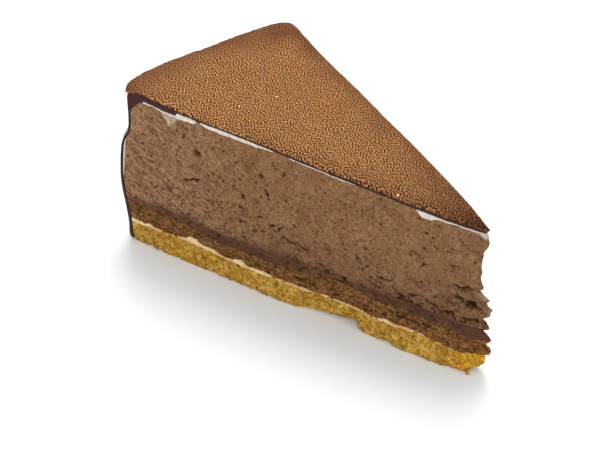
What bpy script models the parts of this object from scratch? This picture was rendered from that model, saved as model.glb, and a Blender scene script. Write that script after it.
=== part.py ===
"""A slice of chocolate mousse cake, standing on its sponge base as it was cut.

The whole cake is a drum of layers under a poured coat. From the bottom up: a plain yellow sponge,
a film of cream, a cocoa sponge, a seam of ganache and a deep bed of chocolate mousse. White icing
lies over the mousse and down the rim, dark chocolate glaze lies over the icing, and the top is
dusted with cocoa. The slice is one wedge of that drum, blunt and torn at its tip.

Every piece is lofted through stations of the same slice: a run outwards from the cake's middle, a
turn from the front cut to the back cut, and a height. Units are metres, +Z is up, +X is the tip.
"""

import math

import bmesh
import bpy
from mathutils import Vector

MM = 0.001

# The cake, the cut and the clearance kept between one layer and the next
RADIUS = 125 * MM
HALF_ANGLE = math.radians(16.1)
TIP_WIDTH = 2.6 * MM
GAP = 0.3 * MM

# The corner between top and rim: the glaze is nearly square outside, and fills a slanted corner inside.
# A corner is how far it drops below the top and the squareness of its curve.
SHOULDER = RADIUS - 6 * MM
OUTER_CORNER = (5 * MM, 4.0)
INNER_CORNER = (8 * MM, 1.25)

# The foot of the coats above the table, and how far the knife draws the top down at each cut
FOOT = 0.8 * MM
EDGE_DROP = 1.1 * MM

# Thickness of the coats, which lie inside one another
DUST = 0.8 * MM
DUST_OVERHANG = 0.5 * MM
GLAZE_WALL = 1.3 * MM
ICING_WALL = 0.8 * MM
MOUSSE_INSET = GLAZE_WALL + ICING_WALL

# Stations of the lofts
TOP_STEPS = 20
CORNER_STEPS = 4
WALL_STEPS = 17
DUST_STEPS = TOP_STEPS + CORNER_STEPS // 2
LAYER_STEPS = TOP_STEPS + CORNER_STEPS
COAT_STEPS = LAYER_STEPS + WALL_STEPS
TURNS = (-1.0, -0.88, -0.5, 0.0, 0.5, 0.88, 1.0)
MOUSSE_LEVELS = 12
SPONGE_LEVELS = 2

# Lines along the slice: (distance from the cake's middle, height or depth), in mm
CREST = ((0, 50.6), (15, 51.7), (40, 53.2), (60, 54.1), (80, 55.2), (100, 55.6), (115, 56.6), (125, 57.2))
GLAZE_DEPTH = ((0, 1.0), (35, 1.2), (60, 0.9), (90, 0.8), (104, 1.0), (110, 1.9), (125, 1.8))
ICING_DEPTH = ((0, 1.2), (20, 1.6), (28, 0.7), (60, 0.7), (90, 1.5), (104, 1.7), (112, 0.9), (125, 0.7))
GANACHE_TOP = ((0, 15.9), (20, 15.6), (45, 15.5), (58, 17.0), (78, 15.8), (95, 16.6), (108, 17.1), (125, 16.1))
COCOA_TOP = ((0, 12.4), (20, 12.9), (35, 13.4), (45, 14.5), (58, 13.2), (78, 12.7), (100, 13.7), (125, 14.3))
FILM_TOP = ((0, 6.7), (15, 7.5), (30, 8.0), (70, 8.5), (85, 8.7), (99, 10.0), (106, 9.0), (125, 8.2))
YELLOW_TOP = ((0, 5.9), (15, 6.6), (30, 7.1), (70, 7.6), (85, 7.6), (99, 8.2), (106, 8.0), (125, 7.1))
FRONT_BOW = ((0, 0.4), (15, 1.1), (45, 1.4), (85, 1.2), (110, 0.5), (125, 0.0))
BACK_BOW = ((0, 0.2), (15, 1.2), (40, 1.3), (65, 0.4), (95, -0.5), (125, -1.0))

# Lines up the slice: (height, how far the rim, the tip and the cuts stand out), in mm
RIM_PUSH = ((0, 0.0), (12, 0.9), (22, 2.7), (31, 3.1), (37, 2.3), (41, 0.6), (45, 0.1), (52, 0.6), (57, 0.3))
TIP_PUSH = ((0, -1.4), (3, 1.2), (8, 2.8), (13, 2.3), (16, 1.2), (19, 0.4), (23, 2.7), (27, 0.8))
TIP_PUSH += ((29.5, -3.6), (32, -2.4), (36, -3.3), (44, -3.2), (47, -1.6), (50, -0.4), (57, -0.6))
FOOT_FLARE = ((0, 0.3), (2, 0.9), (4, 1.0), (9, 0.5), (16, 0.1), (57, 0.0))

# Line along the foot: (distance from the cake's middle, how far the sponge is spread there), in mm
FOOT_SPREAD = ((0, 1.2), (15, 2.0), (30, 2.2), (41, 0.8), (52, 0.6), (62, 1.7), (78, 1.7), (92, 0.9))

# Line round the rim: (tenths of the turn, how far the rim stands out in mm)
RIM_SWELL = ((-10, 0.0), (-8.8, 1.9), (-5, 1.0), (0, -1.2), (5, -0.6), (8.8, 0.2), (10, -0.6))

# How far from the rim and the tip those lines are felt
RIM_ZONE = 20 * MM
TIP_ZONE = 14 * MM

# A chip under the front edge of the yellow sponge, and the drift of the layers between the cuts
CHIP_MIDDLE = 48 * MM
CHIP_REACH = 10 * MM
CHIP_HEIGHT = 1.6 * MM
DRIFT = 0.7 * MM
DRIFT_LENGTH = 41 * MM


def clear_scene():
    for old in list(bpy.data.objects):
        bpy.data.objects.remove(old)


def read_line(line, place):
    """The value of a line at a place, along smooth curves through its points."""
    place = min(max(place, line[0][0]), line[-1][0])
    left = max(k for k in range(len(line) - 1) if line[k][0] <= place)

    def slope(k):
        before = line[max(k - 1, 0)]
        after = line[min(k + 1, len(line) - 1)]
        return (after[1] - before[1]) / (after[0] - before[0])

    (start, low), (end, high) = line[left], line[left + 1]
    t = (place - start) / (end - start)
    blend = 3 * t**2 - 2 * t**3
    lead = (t - 2 * t**2 + t**3) * slope(left)
    trail = (t**3 - t**2) * slope(left + 1)
    return low + (high - low) * blend + (end - start) * (lead + trail)


def ease(t):
    """A smooth step from 0 to 1."""
    t = min(max(t, 0.0), 1.0)
    return t * t * (3 - 2 * t)


def crest(run, turn):
    """Height of the cocoa top, which the knife drew down along both cuts."""
    return read_line(CREST, run / MM) * MM - EDGE_DROP * turn**8


def layer_height(line, run, turn):
    """Height of a layer's line, which is given at the front cut and drifts towards the back cut."""
    drift = 0.5 * (turn + 1) * DRIFT * math.sin(2 * math.pi * run / DRIFT_LENGTH)
    return read_line(line, run / MM) * MM + drift


def place(run, turn, height):
    """The point of the slice at a run from the middle, a turn between the cuts and a height."""
    near_rim = ease(1 - (RADIUS - run) / RIM_ZONE)
    near_tip = ease(1 - run / TIP_ZONE)
    run += (read_line(RIM_PUSH, height / MM) + read_line(RIM_SWELL, 10 * turn)) * MM * near_rim
    run -= read_line(TIP_PUSH, height / MM) * MM * near_tip
    straight = run * math.sin(HALF_ANGLE)
    half_width = 0.5 * (straight + math.hypot(straight, TIP_WIDTH))
    bow = read_line(FRONT_BOW if turn < 0 else BACK_BOW, run / MM)
    flare = read_line(FOOT_FLARE, height / MM) * read_line(FOOT_SPREAD, run / MM)
    across = half_width * math.sin(turn * HALF_ANGLE) / math.sin(HALF_ANGLE)
    return Vector((-run * math.cos(turn * HALF_ANGLE), across + turn * (bow + flare) * MM, height))


def corner_angle(step):
    return 0.5 * math.pi * (step - TOP_STEPS) / CORNER_STEPS


def skin(step, turn, sink, inset, corner):
    """Run and height of a skin that goes over the top, round the corner and down the rim wall.

    sink(run) is its depth under the cocoa and inset its depth in the wall.
    """
    drop, squareness = corner
    corner_foot = crest(SHOULDER, 0) - drop
    if step <= TOP_STEPS:
        run = SHOULDER * step / TOP_STEPS
        return run, crest(run, turn) - sink(run)
    if step <= LAYER_STEPS:
        out = math.sin(corner_angle(step)) ** (2 / squareness)
        up = max(math.cos(corner_angle(step)), 0.0) ** (2 / squareness)
        rise = crest(SHOULDER, turn) - sink(SHOULDER) - corner_foot
        return SHOULDER + (RADIUS - inset - SHOULDER) * out, corner_foot + rise * up
    down = (step - LAYER_STEPS) / WALL_STEPS
    return RADIUS - inset, corner_foot + (FOOT - corner_foot) * down


def skin_surface(sink, inset, corner):
    """The surface of a skin, as a function of step and turn."""

    def surface(step, turn):
        run, height = skin(step, turn, sink, inset, corner)
        return place(run, turn, height)

    return surface


def dust_sink(run):
    return 0.0


def glaze_sink(run):
    return DUST


def icing_sink(run):
    return DUST + read_line(GLAZE_DEPTH, run / MM) * MM


def mousse_sink(run):
    return icing_sink(run) + read_line(ICING_DEPTH, run / MM) * MM


def lowered(sink, depth):
    """The same sink, deeper by depth."""
    return lambda run: sink(run) + depth


def inner_run(step, turn):
    """Run of a layer's station inside the coats."""
    return skin(step, turn, mousse_sink, MOUSSE_INSET + GAP / 2, INNER_CORNER)[0]


def layer_surface(line, shift):
    """The surface of a layer along its line, shifted up or down to keep the gap."""

    def surface(step, turn):
        run = inner_run(step, turn)
        return place(run, turn, layer_height(line, run, turn) + shift)

    return surface


def base_surface(step, turn):
    """The flat underside, chipped upwards at one place along the front edge."""
    run = inner_run(step, turn)
    chip = CHIP_HEIGHT * ease(1 - abs(run - CHIP_MIDDLE) / CHIP_REACH)
    return place(run, turn, chip if turn == -1 else 0.0)


def mousse_surface(share):
    """A level of the mousse, at a share of the way from its floor to its roof."""

    def surface(step, turn):
        sink = lowered(mousse_sink, GAP / 2)
        run, roof = skin(step, turn, sink, MOUSSE_INSET + GAP / 2, INNER_CORNER)
        floor = layer_height(GANACHE_TOP, run, turn) + GAP / 2
        return place(run, turn, floor + share * (roof - floor))

    return surface


def between(low, high, levels):
    """The surfaces from low to high, with even levels in between."""

    def level(share):
        return lambda step, turn: low(step, turn).lerp(high(step, turn), share)

    return [low, *(level(k / levels) for k in range(1, levels)), high]


def surface_finish(name, red, green, blue, roughness):
    """A material from a colour as it is seen on a screen, each part from 0 to 255."""
    made = bpy.data.materials.new(name)
    made.use_nodes = True
    shader = made.node_tree.nodes["Principled BSDF"]
    linear = [(part / 255) ** 2.2 for part in (red, green, blue)]
    shader.inputs["Base Color"].default_value = (*linear, 1)
    shader.inputs["Roughness"].default_value = roughness
    shader.inputs["Metallic"].default_value = 0
    return made


def loft(name, surfaces, steps, finish):
    """A closed solid: a grid laid on the first surface and extruded up through the others.

    A surface gives the point at a step outwards from the middle and a turn between the cuts.
    """
    mesh = bmesh.new()
    cells = len(TURNS) - 1
    bmesh.ops.create_grid(mesh, x_segments=steps, y_segments=cells, size=1)
    step_of = mesh.verts.layers.int.new("step")
    turn_of = mesh.verts.layers.int.new("turn")
    for vertex in mesh.verts:
        vertex[step_of] = round((vertex.co.x + 1) / 2 * steps)
        vertex[turn_of] = round((vertex.co.y + 1) / 2 * cells)
        vertex.co = surfaces[0](vertex[step_of], TURNS[vertex[turn_of]])
    sheet = mesh.faces[:]
    for surface in surfaces[1:]:
        sheet = bmesh.ops.extrude_face_region(mesh, geom=sheet)["geom"]
        for vertex in (part for part in sheet if isinstance(part, bmesh.types.BMVert)):
            vertex.co = surface(vertex[step_of], TURNS[vertex[turn_of]])
    bmesh.ops.recalc_face_normals(mesh, faces=mesh.faces)
    data = bpy.data.meshes.new(name)
    mesh.to_mesh(data)
    mesh.free()
    data.materials.append(finish)
    data.shade_smooth()
    data.set_sharp_from_angle(angle=math.radians(35))
    return bpy.data.objects.new(name, data)


def sponge_and_film():
    """The yellow sponge base, the film of cream on it and the cocoa sponge over that."""
    yellow = surface_finish("yellow_sponge", 176, 138, 66, 0.9)
    cream = surface_finish("cream", 214, 200, 168, 0.55)
    cocoa = surface_finish("cocoa_sponge", 104, 73, 44, 0.9)
    yellow_levels = between(base_surface, layer_surface(YELLOW_TOP, -GAP / 2), SPONGE_LEVELS)
    film_levels = [layer_surface(YELLOW_TOP, GAP / 2), layer_surface(FILM_TOP, -GAP / 2)]
    cocoa_floor = layer_surface(FILM_TOP, GAP / 2)
    cocoa_levels = between(cocoa_floor, layer_surface(COCOA_TOP, -GAP / 2), SPONGE_LEVELS)
    return [
        loft("yellow_sponge", yellow_levels, LAYER_STEPS, yellow),
        loft("cream_film", film_levels, LAYER_STEPS, cream),
        loft("cocoa_sponge", cocoa_levels, LAYER_STEPS, cocoa),
    ]


def ganache_and_mousse():
    """The dark ganache seam and the deep mousse that rises into the corner of the coats."""
    dark = surface_finish("ganache", 96, 66, 54, 0.4)
    light = surface_finish("mousse", 138, 102, 74, 0.75)
    seam_levels = [layer_surface(COCOA_TOP, GAP / 2), layer_surface(GANACHE_TOP, -GAP / 2)]
    mousse_levels = [mousse_surface(k / MOUSSE_LEVELS) for k in range(MOUSSE_LEVELS + 1)]
    return [
        loft("ganache", seam_levels, LAYER_STEPS, dark),
        loft("mousse", mousse_levels, LAYER_STEPS, light),
    ]


def coats():
    """White icing and dark glaze over top and rim, and the cocoa dusted on the top alone."""
    white = surface_finish("white_icing", 214, 208, 196, 0.5)
    dark = surface_finish("dark_glaze", 62, 42, 40, 0.3)
    dust = surface_finish("cocoa_dust", 166, 117, 74, 0.95)
    half = GAP / 2
    icing_levels = [
        skin_surface(lowered(mousse_sink, -half), MOUSSE_INSET - half, INNER_CORNER),
        skin_surface(lowered(icing_sink, half), GLAZE_WALL + half, INNER_CORNER),
    ]
    glaze_levels = [
        skin_surface(lowered(icing_sink, -half), GLAZE_WALL - half, INNER_CORNER),
        skin_surface(lowered(glaze_sink, half), 0.0, OUTER_CORNER),
    ]
    dust_levels = [
        skin_surface(lowered(glaze_sink, -half), 0.0, OUTER_CORNER),
        skin_surface(dust_sink, -DUST_OVERHANG, OUTER_CORNER),
    ]
    return [
        loft("white_icing", icing_levels, COAT_STEPS, white),
        loft("dark_glaze", glaze_levels, COAT_STEPS, dark),
        loft("cocoa_dust", dust_levels, DUST_STEPS, dust),
    ]


def stand_on_origin(pieces):
    """Parents the pieces to an empty, moved so that the middle of their footprint is the origin."""
    points = [vertex.co for piece in pieces for vertex in piece.data.vertices]
    middle_x = 0.5 * (min(point.x for point in points) + max(point.x for point in points))
    middle_y = 0.5 * (min(point.y for point in points) + max(point.y for point in points))
    slice_origin = bpy.data.objects.new("slice_origin", None)
    slice_origin.location = (-middle_x, -middle_y, 0)
    for piece in pieces:
        piece.parent = slice_origin
    return slice_origin


def main():
    clear_scene()
    cake = bpy.data.collections.new("chocolate_mousse_cake_slice")
    bpy.context.scene.collection.children.link(cake)
    pieces = sponge_and_film() + ganache_and_mousse() + coats()
    for piece in [*pieces, stand_on_origin(pieces)]:
        cake.objects.link(piece)


main()
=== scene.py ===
"""A slice of chocolate mousse cake: the looks of every layer, built up as the cake was, from its base.

Lengths are in millimetres until a mesh is made. A place on the slice is a run outwards from the
cake's middle, a turn from the front cut (-1) to the back cut (+1), and a height.
"""

import itertools
import math

import bmesh
import bpy
import numpy as np
from mathutils import Matrix, Vector


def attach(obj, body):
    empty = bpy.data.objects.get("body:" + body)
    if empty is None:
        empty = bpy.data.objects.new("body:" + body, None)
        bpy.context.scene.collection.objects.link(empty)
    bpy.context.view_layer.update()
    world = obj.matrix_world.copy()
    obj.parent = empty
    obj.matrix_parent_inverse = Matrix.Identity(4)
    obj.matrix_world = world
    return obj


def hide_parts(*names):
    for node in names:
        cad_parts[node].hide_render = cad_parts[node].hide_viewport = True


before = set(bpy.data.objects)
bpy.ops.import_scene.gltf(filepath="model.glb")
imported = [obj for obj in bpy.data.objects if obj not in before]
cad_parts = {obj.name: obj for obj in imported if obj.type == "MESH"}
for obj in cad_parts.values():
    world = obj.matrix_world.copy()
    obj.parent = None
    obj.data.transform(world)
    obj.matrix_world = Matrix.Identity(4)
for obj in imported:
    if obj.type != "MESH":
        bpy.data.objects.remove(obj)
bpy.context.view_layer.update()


# The yellow sponge base
# A plain egg sponge, baked as a sheet and cut to the ring. The slice stands on it: it is pressed
# outwards along its foot, chipped at two places, and shows an open, uneven crumb at both cuts. A few
# of its crumbs have dropped onto the table.

# The cake, the wedge that was cut from it, and where its axis stands in the frame
MM = 0.001
RADIUS = 125.0
HALF_ANGLE = math.radians(16.1)
TIP_WIDTH = 2.4
AXIS = np.array((62.6, 0.6, 0.0))

# The coats on the wall, the layers' lap, their drift, and how far the rim and the tip are uneven
GLAZE_WALL = 1.3
ICING_WALL = 0.8
INSIDE = RADIUS - GLAZE_WALL - ICING_WALL
RIM_ZONE = 20.0
TIP_ZONE = 14.0
DRIFT = 0.7
DRIFT_LENGTH = 41.0
LAP = 0.15

# Lines of (place, distance) in millimetres. The place is a run on the bows, ten times the turn on
# the rim's swell, and a height on the others
LAYER_INSET = (
    (0, 2.0), (4, 1.6), (8, 1.4), (15, 1.2), (20, 1.2), (25, 1.3), (31, 1.55), (36, 1.45),
    (38, 1.4), (41, 1.5), (45, 1.45), (49, 1.65), (57, 2.1),
)
FRONT_BOW = ((0, 0.4), (15, 1.1), (45, 1.4), (85, 1.2), (110, 0.5), (125, 0.0))
BACK_BOW = ((0, 0.2), (15, 1.2), (40, 1.3), (65, 0.4), (95, -0.5), (125, -1.0))
RIM_PUSH = (
    (0, -0.4), (6, 0.0), (12, 1.4), (17, 2.6), (22, 3.3), (26, 3.3), (31, 3.1), (37, 2.3),
    (41, 0.6), (45, 0.1), (52, 0.6), (57, 0.3),
)
RIM_SWELL = ((-10, 0.0), (-8.8, 1.9), (-5, 1.0), (0, -1.2), (5, -0.6), (8.8, 0.2), (10, -0.6))
TIP_PUSH = (
    (0, -2.7), (2, 1.2), (5, 1.7), (6.6, 1.5), (8, 4.0), (9.2, 2.8), (10.2, 0.3), (11.6, 3.3),
    (12.6, 3.5), (13.6, 2.3), (15.2, -0.3), (16.0, 2.3), (17.1, 2.1), (18.3, -0.4), (19.6, 1.1),
    (20.6, 2.5), (21.6, 2.5), (22.9, 3.2), (24.4, 0.3), (26.3, 1.7), (27.2, -3.3), (28.9, -1.0),
    (30.4, -2.0), (32.3, -2.6), (34.2, -2.1), (36, -2.7), (38, -2.4), (41, -2.2), (43, -1.2),
    (44.4, -0.4), (48, -1.8), (50, -0.9), (57, -0.9),
)

# How far the tatters of the tip are rounded, and how the tip bends over
TATTER = 0.35
TIP_BEND = 9.0
TIP_LEAN = 2.2

# The foot of the slice, the top of the yellow sponge, and the chips out of its front edge
FOOT_FLARE = ((0, 0.3), (2, 0.9), (4, 1.0), (9, 0.5), (16, 0.1), (57, 0.0))
FOOT_SPREAD = (
    (0, 0.8), (15, 2.0), (30, 2.2), (41, 0.8), (52, 0.6), (62, 1.7), (78, 1.7), (92, 0.9),
)
YELLOW_TOP = (
    (0, 7.6), (3, 6.4), (8, 6.4), (14, 7.4), (18, 7.6), (30, 7.5), (70, 7.6), (85, 7.6), (99, 8.2),
    (106, 8.0), (125, 7.1),
)
FOOT_PRESS = (
    (0, 0.9), (2, 1.7), (7, 2.3), (14, 2.1), (18, 1.6), (24, 1.4), (31, 0.6), (36, 0.7), (38, 0.0),
    (57, 0.0), (60, 0.7), (92, 0.55), (117, 0.5), (120, 0.0),
)
CHIP = (
    (24.5, 0.0), (25.8, 1.6), (28, 2.7), (29.6, 1.4), (31, 0.0), (37.4, 0.0), (38.6, 2.8),
    (41, 3.4), (43.5, 3.6), (46, 4.3), (49.5, 3.8), (51.2, 2.9), (53.5, 2.8), (55.5, 1.8),
    (57.5, 0.8), (59, 0.0), (64, 0.0),
)

# Crumbs that dropped from the base onto the table: along, across, radius
FALLEN = ((62.2, -2.5, 0.62), (61.2, -2.0, 0.45), (38.4, -9.3, 0.35), (-46.4, -32.3, 0.28))


def read_line(line, place):
    """Values of a line at places, along smooth curves through its points."""
    at, value = np.array(line, dtype=float).T
    slope = np.empty_like(value)
    slope[1:-1] = (value[2:] - value[:-2]) / (at[2:] - at[:-2])
    slope[0] = (value[1] - value[0]) / (at[1] - at[0])
    slope[-1] = (value[-1] - value[-2]) / (at[-1] - at[-2])
    place = np.clip(place, at[0], at[-1])
    left = np.clip(np.searchsorted(at, place, side="right") - 1, 0, len(at) - 2)
    wide = at[left + 1] - at[left]
    t = (place - at[left]) / wide
    blend = t * t * (3 - 2 * t)
    lead = (t - 2 * t**2 + t**3) * slope[left]
    trail = (t**3 - t**2) * slope[left + 1]
    return value[left] + (value[left + 1] - value[left]) * blend + wide * (lead + trail)


def ease(t):
    """A smooth step from 0 to 1."""
    t = np.clip(t, 0, 1)
    return t * t * (3 - 2 * t)


def lumps(points, size, seed):
    """Smooth noise from -1 to 1 at points, with lumps of about the given size."""
    spun = points @ np.array(((0.82, 0.44, -0.36), (-0.57, 0.63, -0.53), (-0.01, 0.64, 0.77)))
    scaled = spun / size + 500.0
    cell = np.floor(scaled).astype(np.int64)
    t = scaled - cell
    t = t * t * (3 - 2 * t)
    total = 0.0
    for corner in itertools.product((0, 1), repeat=3):
        near = cell + corner
        mixed = near[..., 0] * 73856093 ^ near[..., 1] * 19349663 ^ near[..., 2] * 83492791 ^ seed * 9719
        mixed = ((mixed ^ mixed >> 13) * 1274126177) & 0x7FFFFFFF
        value = ((mixed ^ mixed >> 15) & 0xFFFF) / 32767.5 - 1
        total = total + np.prod(np.where(corner, t, 1 - t), axis=-1) * value
    return total


def unrolled(run, turn, stretch):
    """Places for noise that runs along the slice, with the turn stretched to millimetres."""
    return np.stack((run, stretch * turn, 0 * run), axis=-1)


def on_slice(run, turn, height):
    """Points of the slice, in millimetres from the frame's origin."""
    near_rim = ease(1 - (RADIUS - run) / RIM_ZONE)
    near_tip = ease(1 - run / TIP_ZONE)
    run = run + (read_line(RIM_PUSH, height) + read_line(RIM_SWELL, 10 * turn)) * near_rim
    straight = run * math.sin(HALF_ANGLE)
    half_width = 0.5 * (straight + np.hypot(straight, TIP_WIDTH))
    bow = np.where(turn < 0, read_line(FRONT_BOW, run), read_line(BACK_BOW, run))
    flare = read_line(FOOT_FLARE, height) * read_line(FOOT_SPREAD, run)
    across = half_width * np.sin(turn * HALF_ANGLE) / math.sin(HALF_ANGLE) + turn * (bow + flare)
    across = across - np.clip(-turn, 0, 1) * read_line(FOOT_PRESS, run) * ease(1 - height / 4)
    across = across + 0.5 * TIP_LEAN * (1 - turn) * np.clip(1 - run / TIP_BEND, 0, 1) ** 2
    torn = np.stack(np.broadcast_arrays(run, 3 * turn, height), axis=-1)
    torn = height + 0.5 * lumps(torn, 1.6, 9)
    push = 0.5 * (read_line(TIP_PUSH, torn - TATTER) + read_line(TIP_PUSH, torn + TATTER))
    along = -run * np.cos(turn * HALF_ANGLE) + push * near_tip
    return np.stack((along, across, height), axis=-1) + AXIS


def layer_height(line, run, turn):
    """Height of a layer's line, which drifts and wavers from one cut to the other."""
    waver = lumps(unrolled(run, turn, 40), 5.0, 11)
    waver += 0.5 * lumps(unrolled(run, turn, 40), 1.6, 12)
    drift = 0.5 * (turn + 1) * DRIFT * np.sin(2 * math.pi * run / DRIFT_LENGTH)
    return read_line(line, run) + drift + 0.28 * waver


def layer_inset(height):
    """How far short of the outside of the wall the layers stop, to leave room for its coats."""
    return read_line(LAYER_INSET, height)


def slice_loop(front_pitch, back_pitch):
    """Runs and turns of a loop round the slice: front cut, tip, back cut, then the hidden rim."""
    front = np.linspace(INSIDE, 0, round(INSIDE / front_pitch), endpoint=False)
    tip = np.linspace(-1, 1, round(1.4 * TIP_WIDTH / front_pitch), endpoint=False)
    back = np.linspace(0, INSIDE, round(INSIDE / back_pitch), endpoint=False)
    rim = np.linspace(1, -1, 25, endpoint=False)
    run = np.concatenate((front, 0 * tip, back, 0 * rim + INSIDE))
    turn = np.concatenate((0 * front - 1, tip, 0 * back + 1, rim))
    return run, turn


class CutWall:
    """The outside of one layer: a grid of places round the slice, with relief, stains, painted light and
    painted shade to add.

    It goes from its floor to a little above its roof, so that it laps the layer above it.
    """

    def __init__(self, floor, roof, rows, front_pitch=0.3, back_pitch=0.5):
        run, turn = slice_loop(front_pitch, back_pitch)
        low, high = floor(run, turn), roof(run, turn) + LAP
        share = np.linspace(0, 1, rows + 1)
        self.run, self.turn = run, turn
        self.height = low[:, None] + (high - low)[:, None] * share
        reach = RADIUS - INSIDE - layer_inset(self.height)
        self.points = on_slice(
            run[:, None] + reach * ease((run - INSIDE + 4) / 4)[:, None], turn[:, None], self.height
        )
        self.above_floor = self.height - low[:, None]
        plan = self.points[:, rows // 2, :2]
        steps = np.linalg.norm(np.diff(plan, axis=0), axis=1)
        arc = np.concatenate(((0.0,), np.cumsum(steps)))
        at_tip = np.flatnonzero(run == 0)
        self.arc = arc - arc[at_tip[0]]
        self.tip_length = self.arc[at_tip[-1]]
        self.back_length = self.arc[np.flatnonzero(turn == 1)[-1]] - self.tip_length
        self.relief = np.zeros_like(self.height)
        self.pit_shade = np.zeros_like(self.height)
        self.stain = np.zeros_like(self.height)
        self.smear_and_glow = np.zeros_like(self.height)
        self.loose = np.zeros_like(self.height)
        self.shown = ease((INSIDE - 0.5 - run) / 1.5)[:, None]
        self.near_tip = ease(1 - run / 9.0)[:, None]

    def noise(self, size, seed):
        return lumps(self.points, size, seed)

    def place_of(self, side, distance):
        """Place along the loop that lies a distance from the tip along one side, front or back."""
        along = np.flatnonzero((self.turn == (-1 if side == "front" else 1)) & (self.run < INSIDE))
        along = along[np.argsort(self.run[along])]
        return np.interp(distance, self.run[along], self.arc[along])

    def hollow(self, middle, height, wide, tall, depth, tilt=0.0, dark=1.0):
        """Presses one oval hollow into the wall."""
        first, last = np.searchsorted(self.arc, (middle - wide - tall, middle + wide + tall))
        part = slice(first, last)
        along = self.arc[part, None] - middle
        up = self.height[part] - height
        x = (along * math.cos(tilt) + up * math.sin(tilt)) / wide
        y = (up * math.cos(tilt) - along * math.sin(tilt)) / tall
        bowl = np.clip(1 - x * x - y * y, 0, 1) ** 0.6
        self.relief[part] = np.minimum(self.relief[part], -depth * bowl)
        # Painted shade inside the hollow, as strong as dark says.
        self.pit_shade[part] = np.maximum(self.pit_shade[part], dark * bowl)

    def tear(self, route, wide, depth, side="front", dark=1.0):
        """Opens a ragged crack along a route of (distance from the tip, height)."""
        bent = np.stack((self.arc[:, None] + 0 * self.height, self.height), axis=-1)
        bent = bent + 0.30 * np.stack((self.noise(1.3, 21), self.noise(1.1, 22)), axis=-1)
        bent = bent + 0.34 * np.stack((self.noise(0.6, 25), self.noise(0.6, 26)), axis=-1)
        near = np.full(self.height.shape, np.inf)
        for start, end in itertools.pairwise(route):
            a = np.array((self.place_of(side, start[0]), start[1]))
            b = np.array((self.place_of(side, end[0]), end[1]))
            t = np.clip(((bent - a) @ (b - a)) / ((b - a) @ (b - a)), 0, 1)
            near = np.minimum(near, np.linalg.norm(bent - a - t[..., None] * (b - a), axis=-1))
        frayed = np.maximum(wide * (0.9 + 0.9 * self.noise(1.2, 23)), 0.12)
        cleft = ease(1.6 - 1.6 * near / frayed) * ease(1.1 + 1.3 * self.noise(2.1, 24))
        self.relief = np.minimum(self.relief, self.relief * (1 - cleft) - depth * cleft)
        # Painted shade along the crack.
        self.pit_shade = np.maximum(self.pit_shade, dark * cleft)

    def gouge(self, first, last, low, high, depth, seed):
        """Breaks ragged holes out of the front between two distances from the tip and two heights."""
        ends = self.place_of("front", first), self.place_of("front", last)
        x = (2 * self.arc[:, None] - ends[0] - ends[1]) / (ends[1] - ends[0])
        y = (2 * self.height - low - high) / (high - low)
        frayed = 1.1 * self.noise(1.3, seed) + 0.9 * self.noise(0.6, seed + 1)
        hole = ease(1.9 - 1.6 * np.hypot(x, y) + frayed) * (np.hypot(x, y) < 1.6)
        rough = depth * (1 + 0.5 * self.noise(0.7, seed + 2))
        self.relief = np.minimum(self.relief, self.relief * (1 - hole) - rough * hole)
        # Painted shade inside the holes.
        self.pit_shade = np.maximum(self.pit_shade, hole)

    def cracks(self, size, wide, depth, seed, share=1.0):
        """Opens fine lying cracks between crumbs, as many as the share says."""
        flat = self.points * (1, 1, 2.8)
        opened = ease(0.3 + 1.4 * self.noise(3 * size, seed)) * share
        cleft = ease(1.3 - 1.3 * np.abs(lumps(flat, size, seed + 1)) / wide) * opened
        self.relief -= depth * cleft
        # Painted shade in the cracks.
        self.pit_shade = np.maximum(self.pit_shade, cleft)

    def pores(
        self, count, smallest, largest, depth, dark, seed,
        stretch=1.5, lean=0.9, tilt=0.0, share=1.0, end=None,
    ):
        """Scatters small oval pores over the lower share of both cuts, or only as far as an end."""
        dice = np.random.default_rng(seed)
        reach = (self.arc[0], self.tip_length + self.back_length if end is None else end)
        for _ in range(count):
            middle = dice.uniform(*reach)
            column = min(np.searchsorted(self.arc, middle), len(self.arc) - 1)
            low, high = self.height[column, 0], self.height[column, -1]
            height = dice.uniform(low, low + (high - low) * share)
            size = smallest + (largest - smallest) * dice.random() ** 3
            long = size * dice.uniform(1, stretch)
            turned = tilt + dice.uniform(-lean, lean)
            self.hollow(middle, height, long, size, depth * size, turned, dark * dice.uniform(0.5, 1))

    def solid(self, name, material):
        """The closed mesh of the layer, with the painted shade of its pits and its stains as attributes."""
        ahead, behind = np.roll(self.points, -1, axis=0), np.roll(self.points, 1, axis=0)
        along = (ahead - behind)[..., :2]
        along = along / np.linalg.norm(along, axis=-1, keepdims=True)
        outward = np.stack((along[..., 1], -along[..., 0], 0 * self.height), axis=-1)
        places = self.points + outward * (self.relief * self.shown)[..., None]
        columns, rows = self.height.shape
        number = np.arange(columns * rows).reshape(columns, rows)
        beside = np.roll(number, -1, axis=0)
        quads = np.stack((number[:, :-1], beside[:, :-1], beside[:, 1:], number[:, 1:]), axis=-1)
        faces = quads.reshape(-1, 4).tolist()
        faces.append(number[::-1, 0].tolist())
        faces.append(number[:, -1].tolist())
        data = bpy.data.meshes.new(name)
        data.from_pydata((places.reshape(-1, 3) * MM).tolist(), [], faces)
        for label in ("pit_shade", "stain", "smear_and_glow", "loose"):
            values = getattr(self, label).ravel()
            data.attributes.new(label, "FLOAT", "POINT").data.foreach_set("value", values)
        data.shade_smooth()
        for cap in data.polygons[-2:]:
            cap.use_smooth = False
        data.materials.append(material)
        return show(name, data)


def show(name, data):
    """Puts a finished mesh on the slice, moving with its only body."""
    piece = bpy.data.objects.new(name, data)
    bpy.context.scene.collection.objects.link(piece)
    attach(piece, "root")
    return piece


def paint(red, green, blue):
    """Linear colour of a shade whose parts on a screen go from 0 to 255."""
    return (*(((part / 255 + 0.055) / 1.055) ** 2.4 for part in (red, green, blue)), 1.0)


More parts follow.
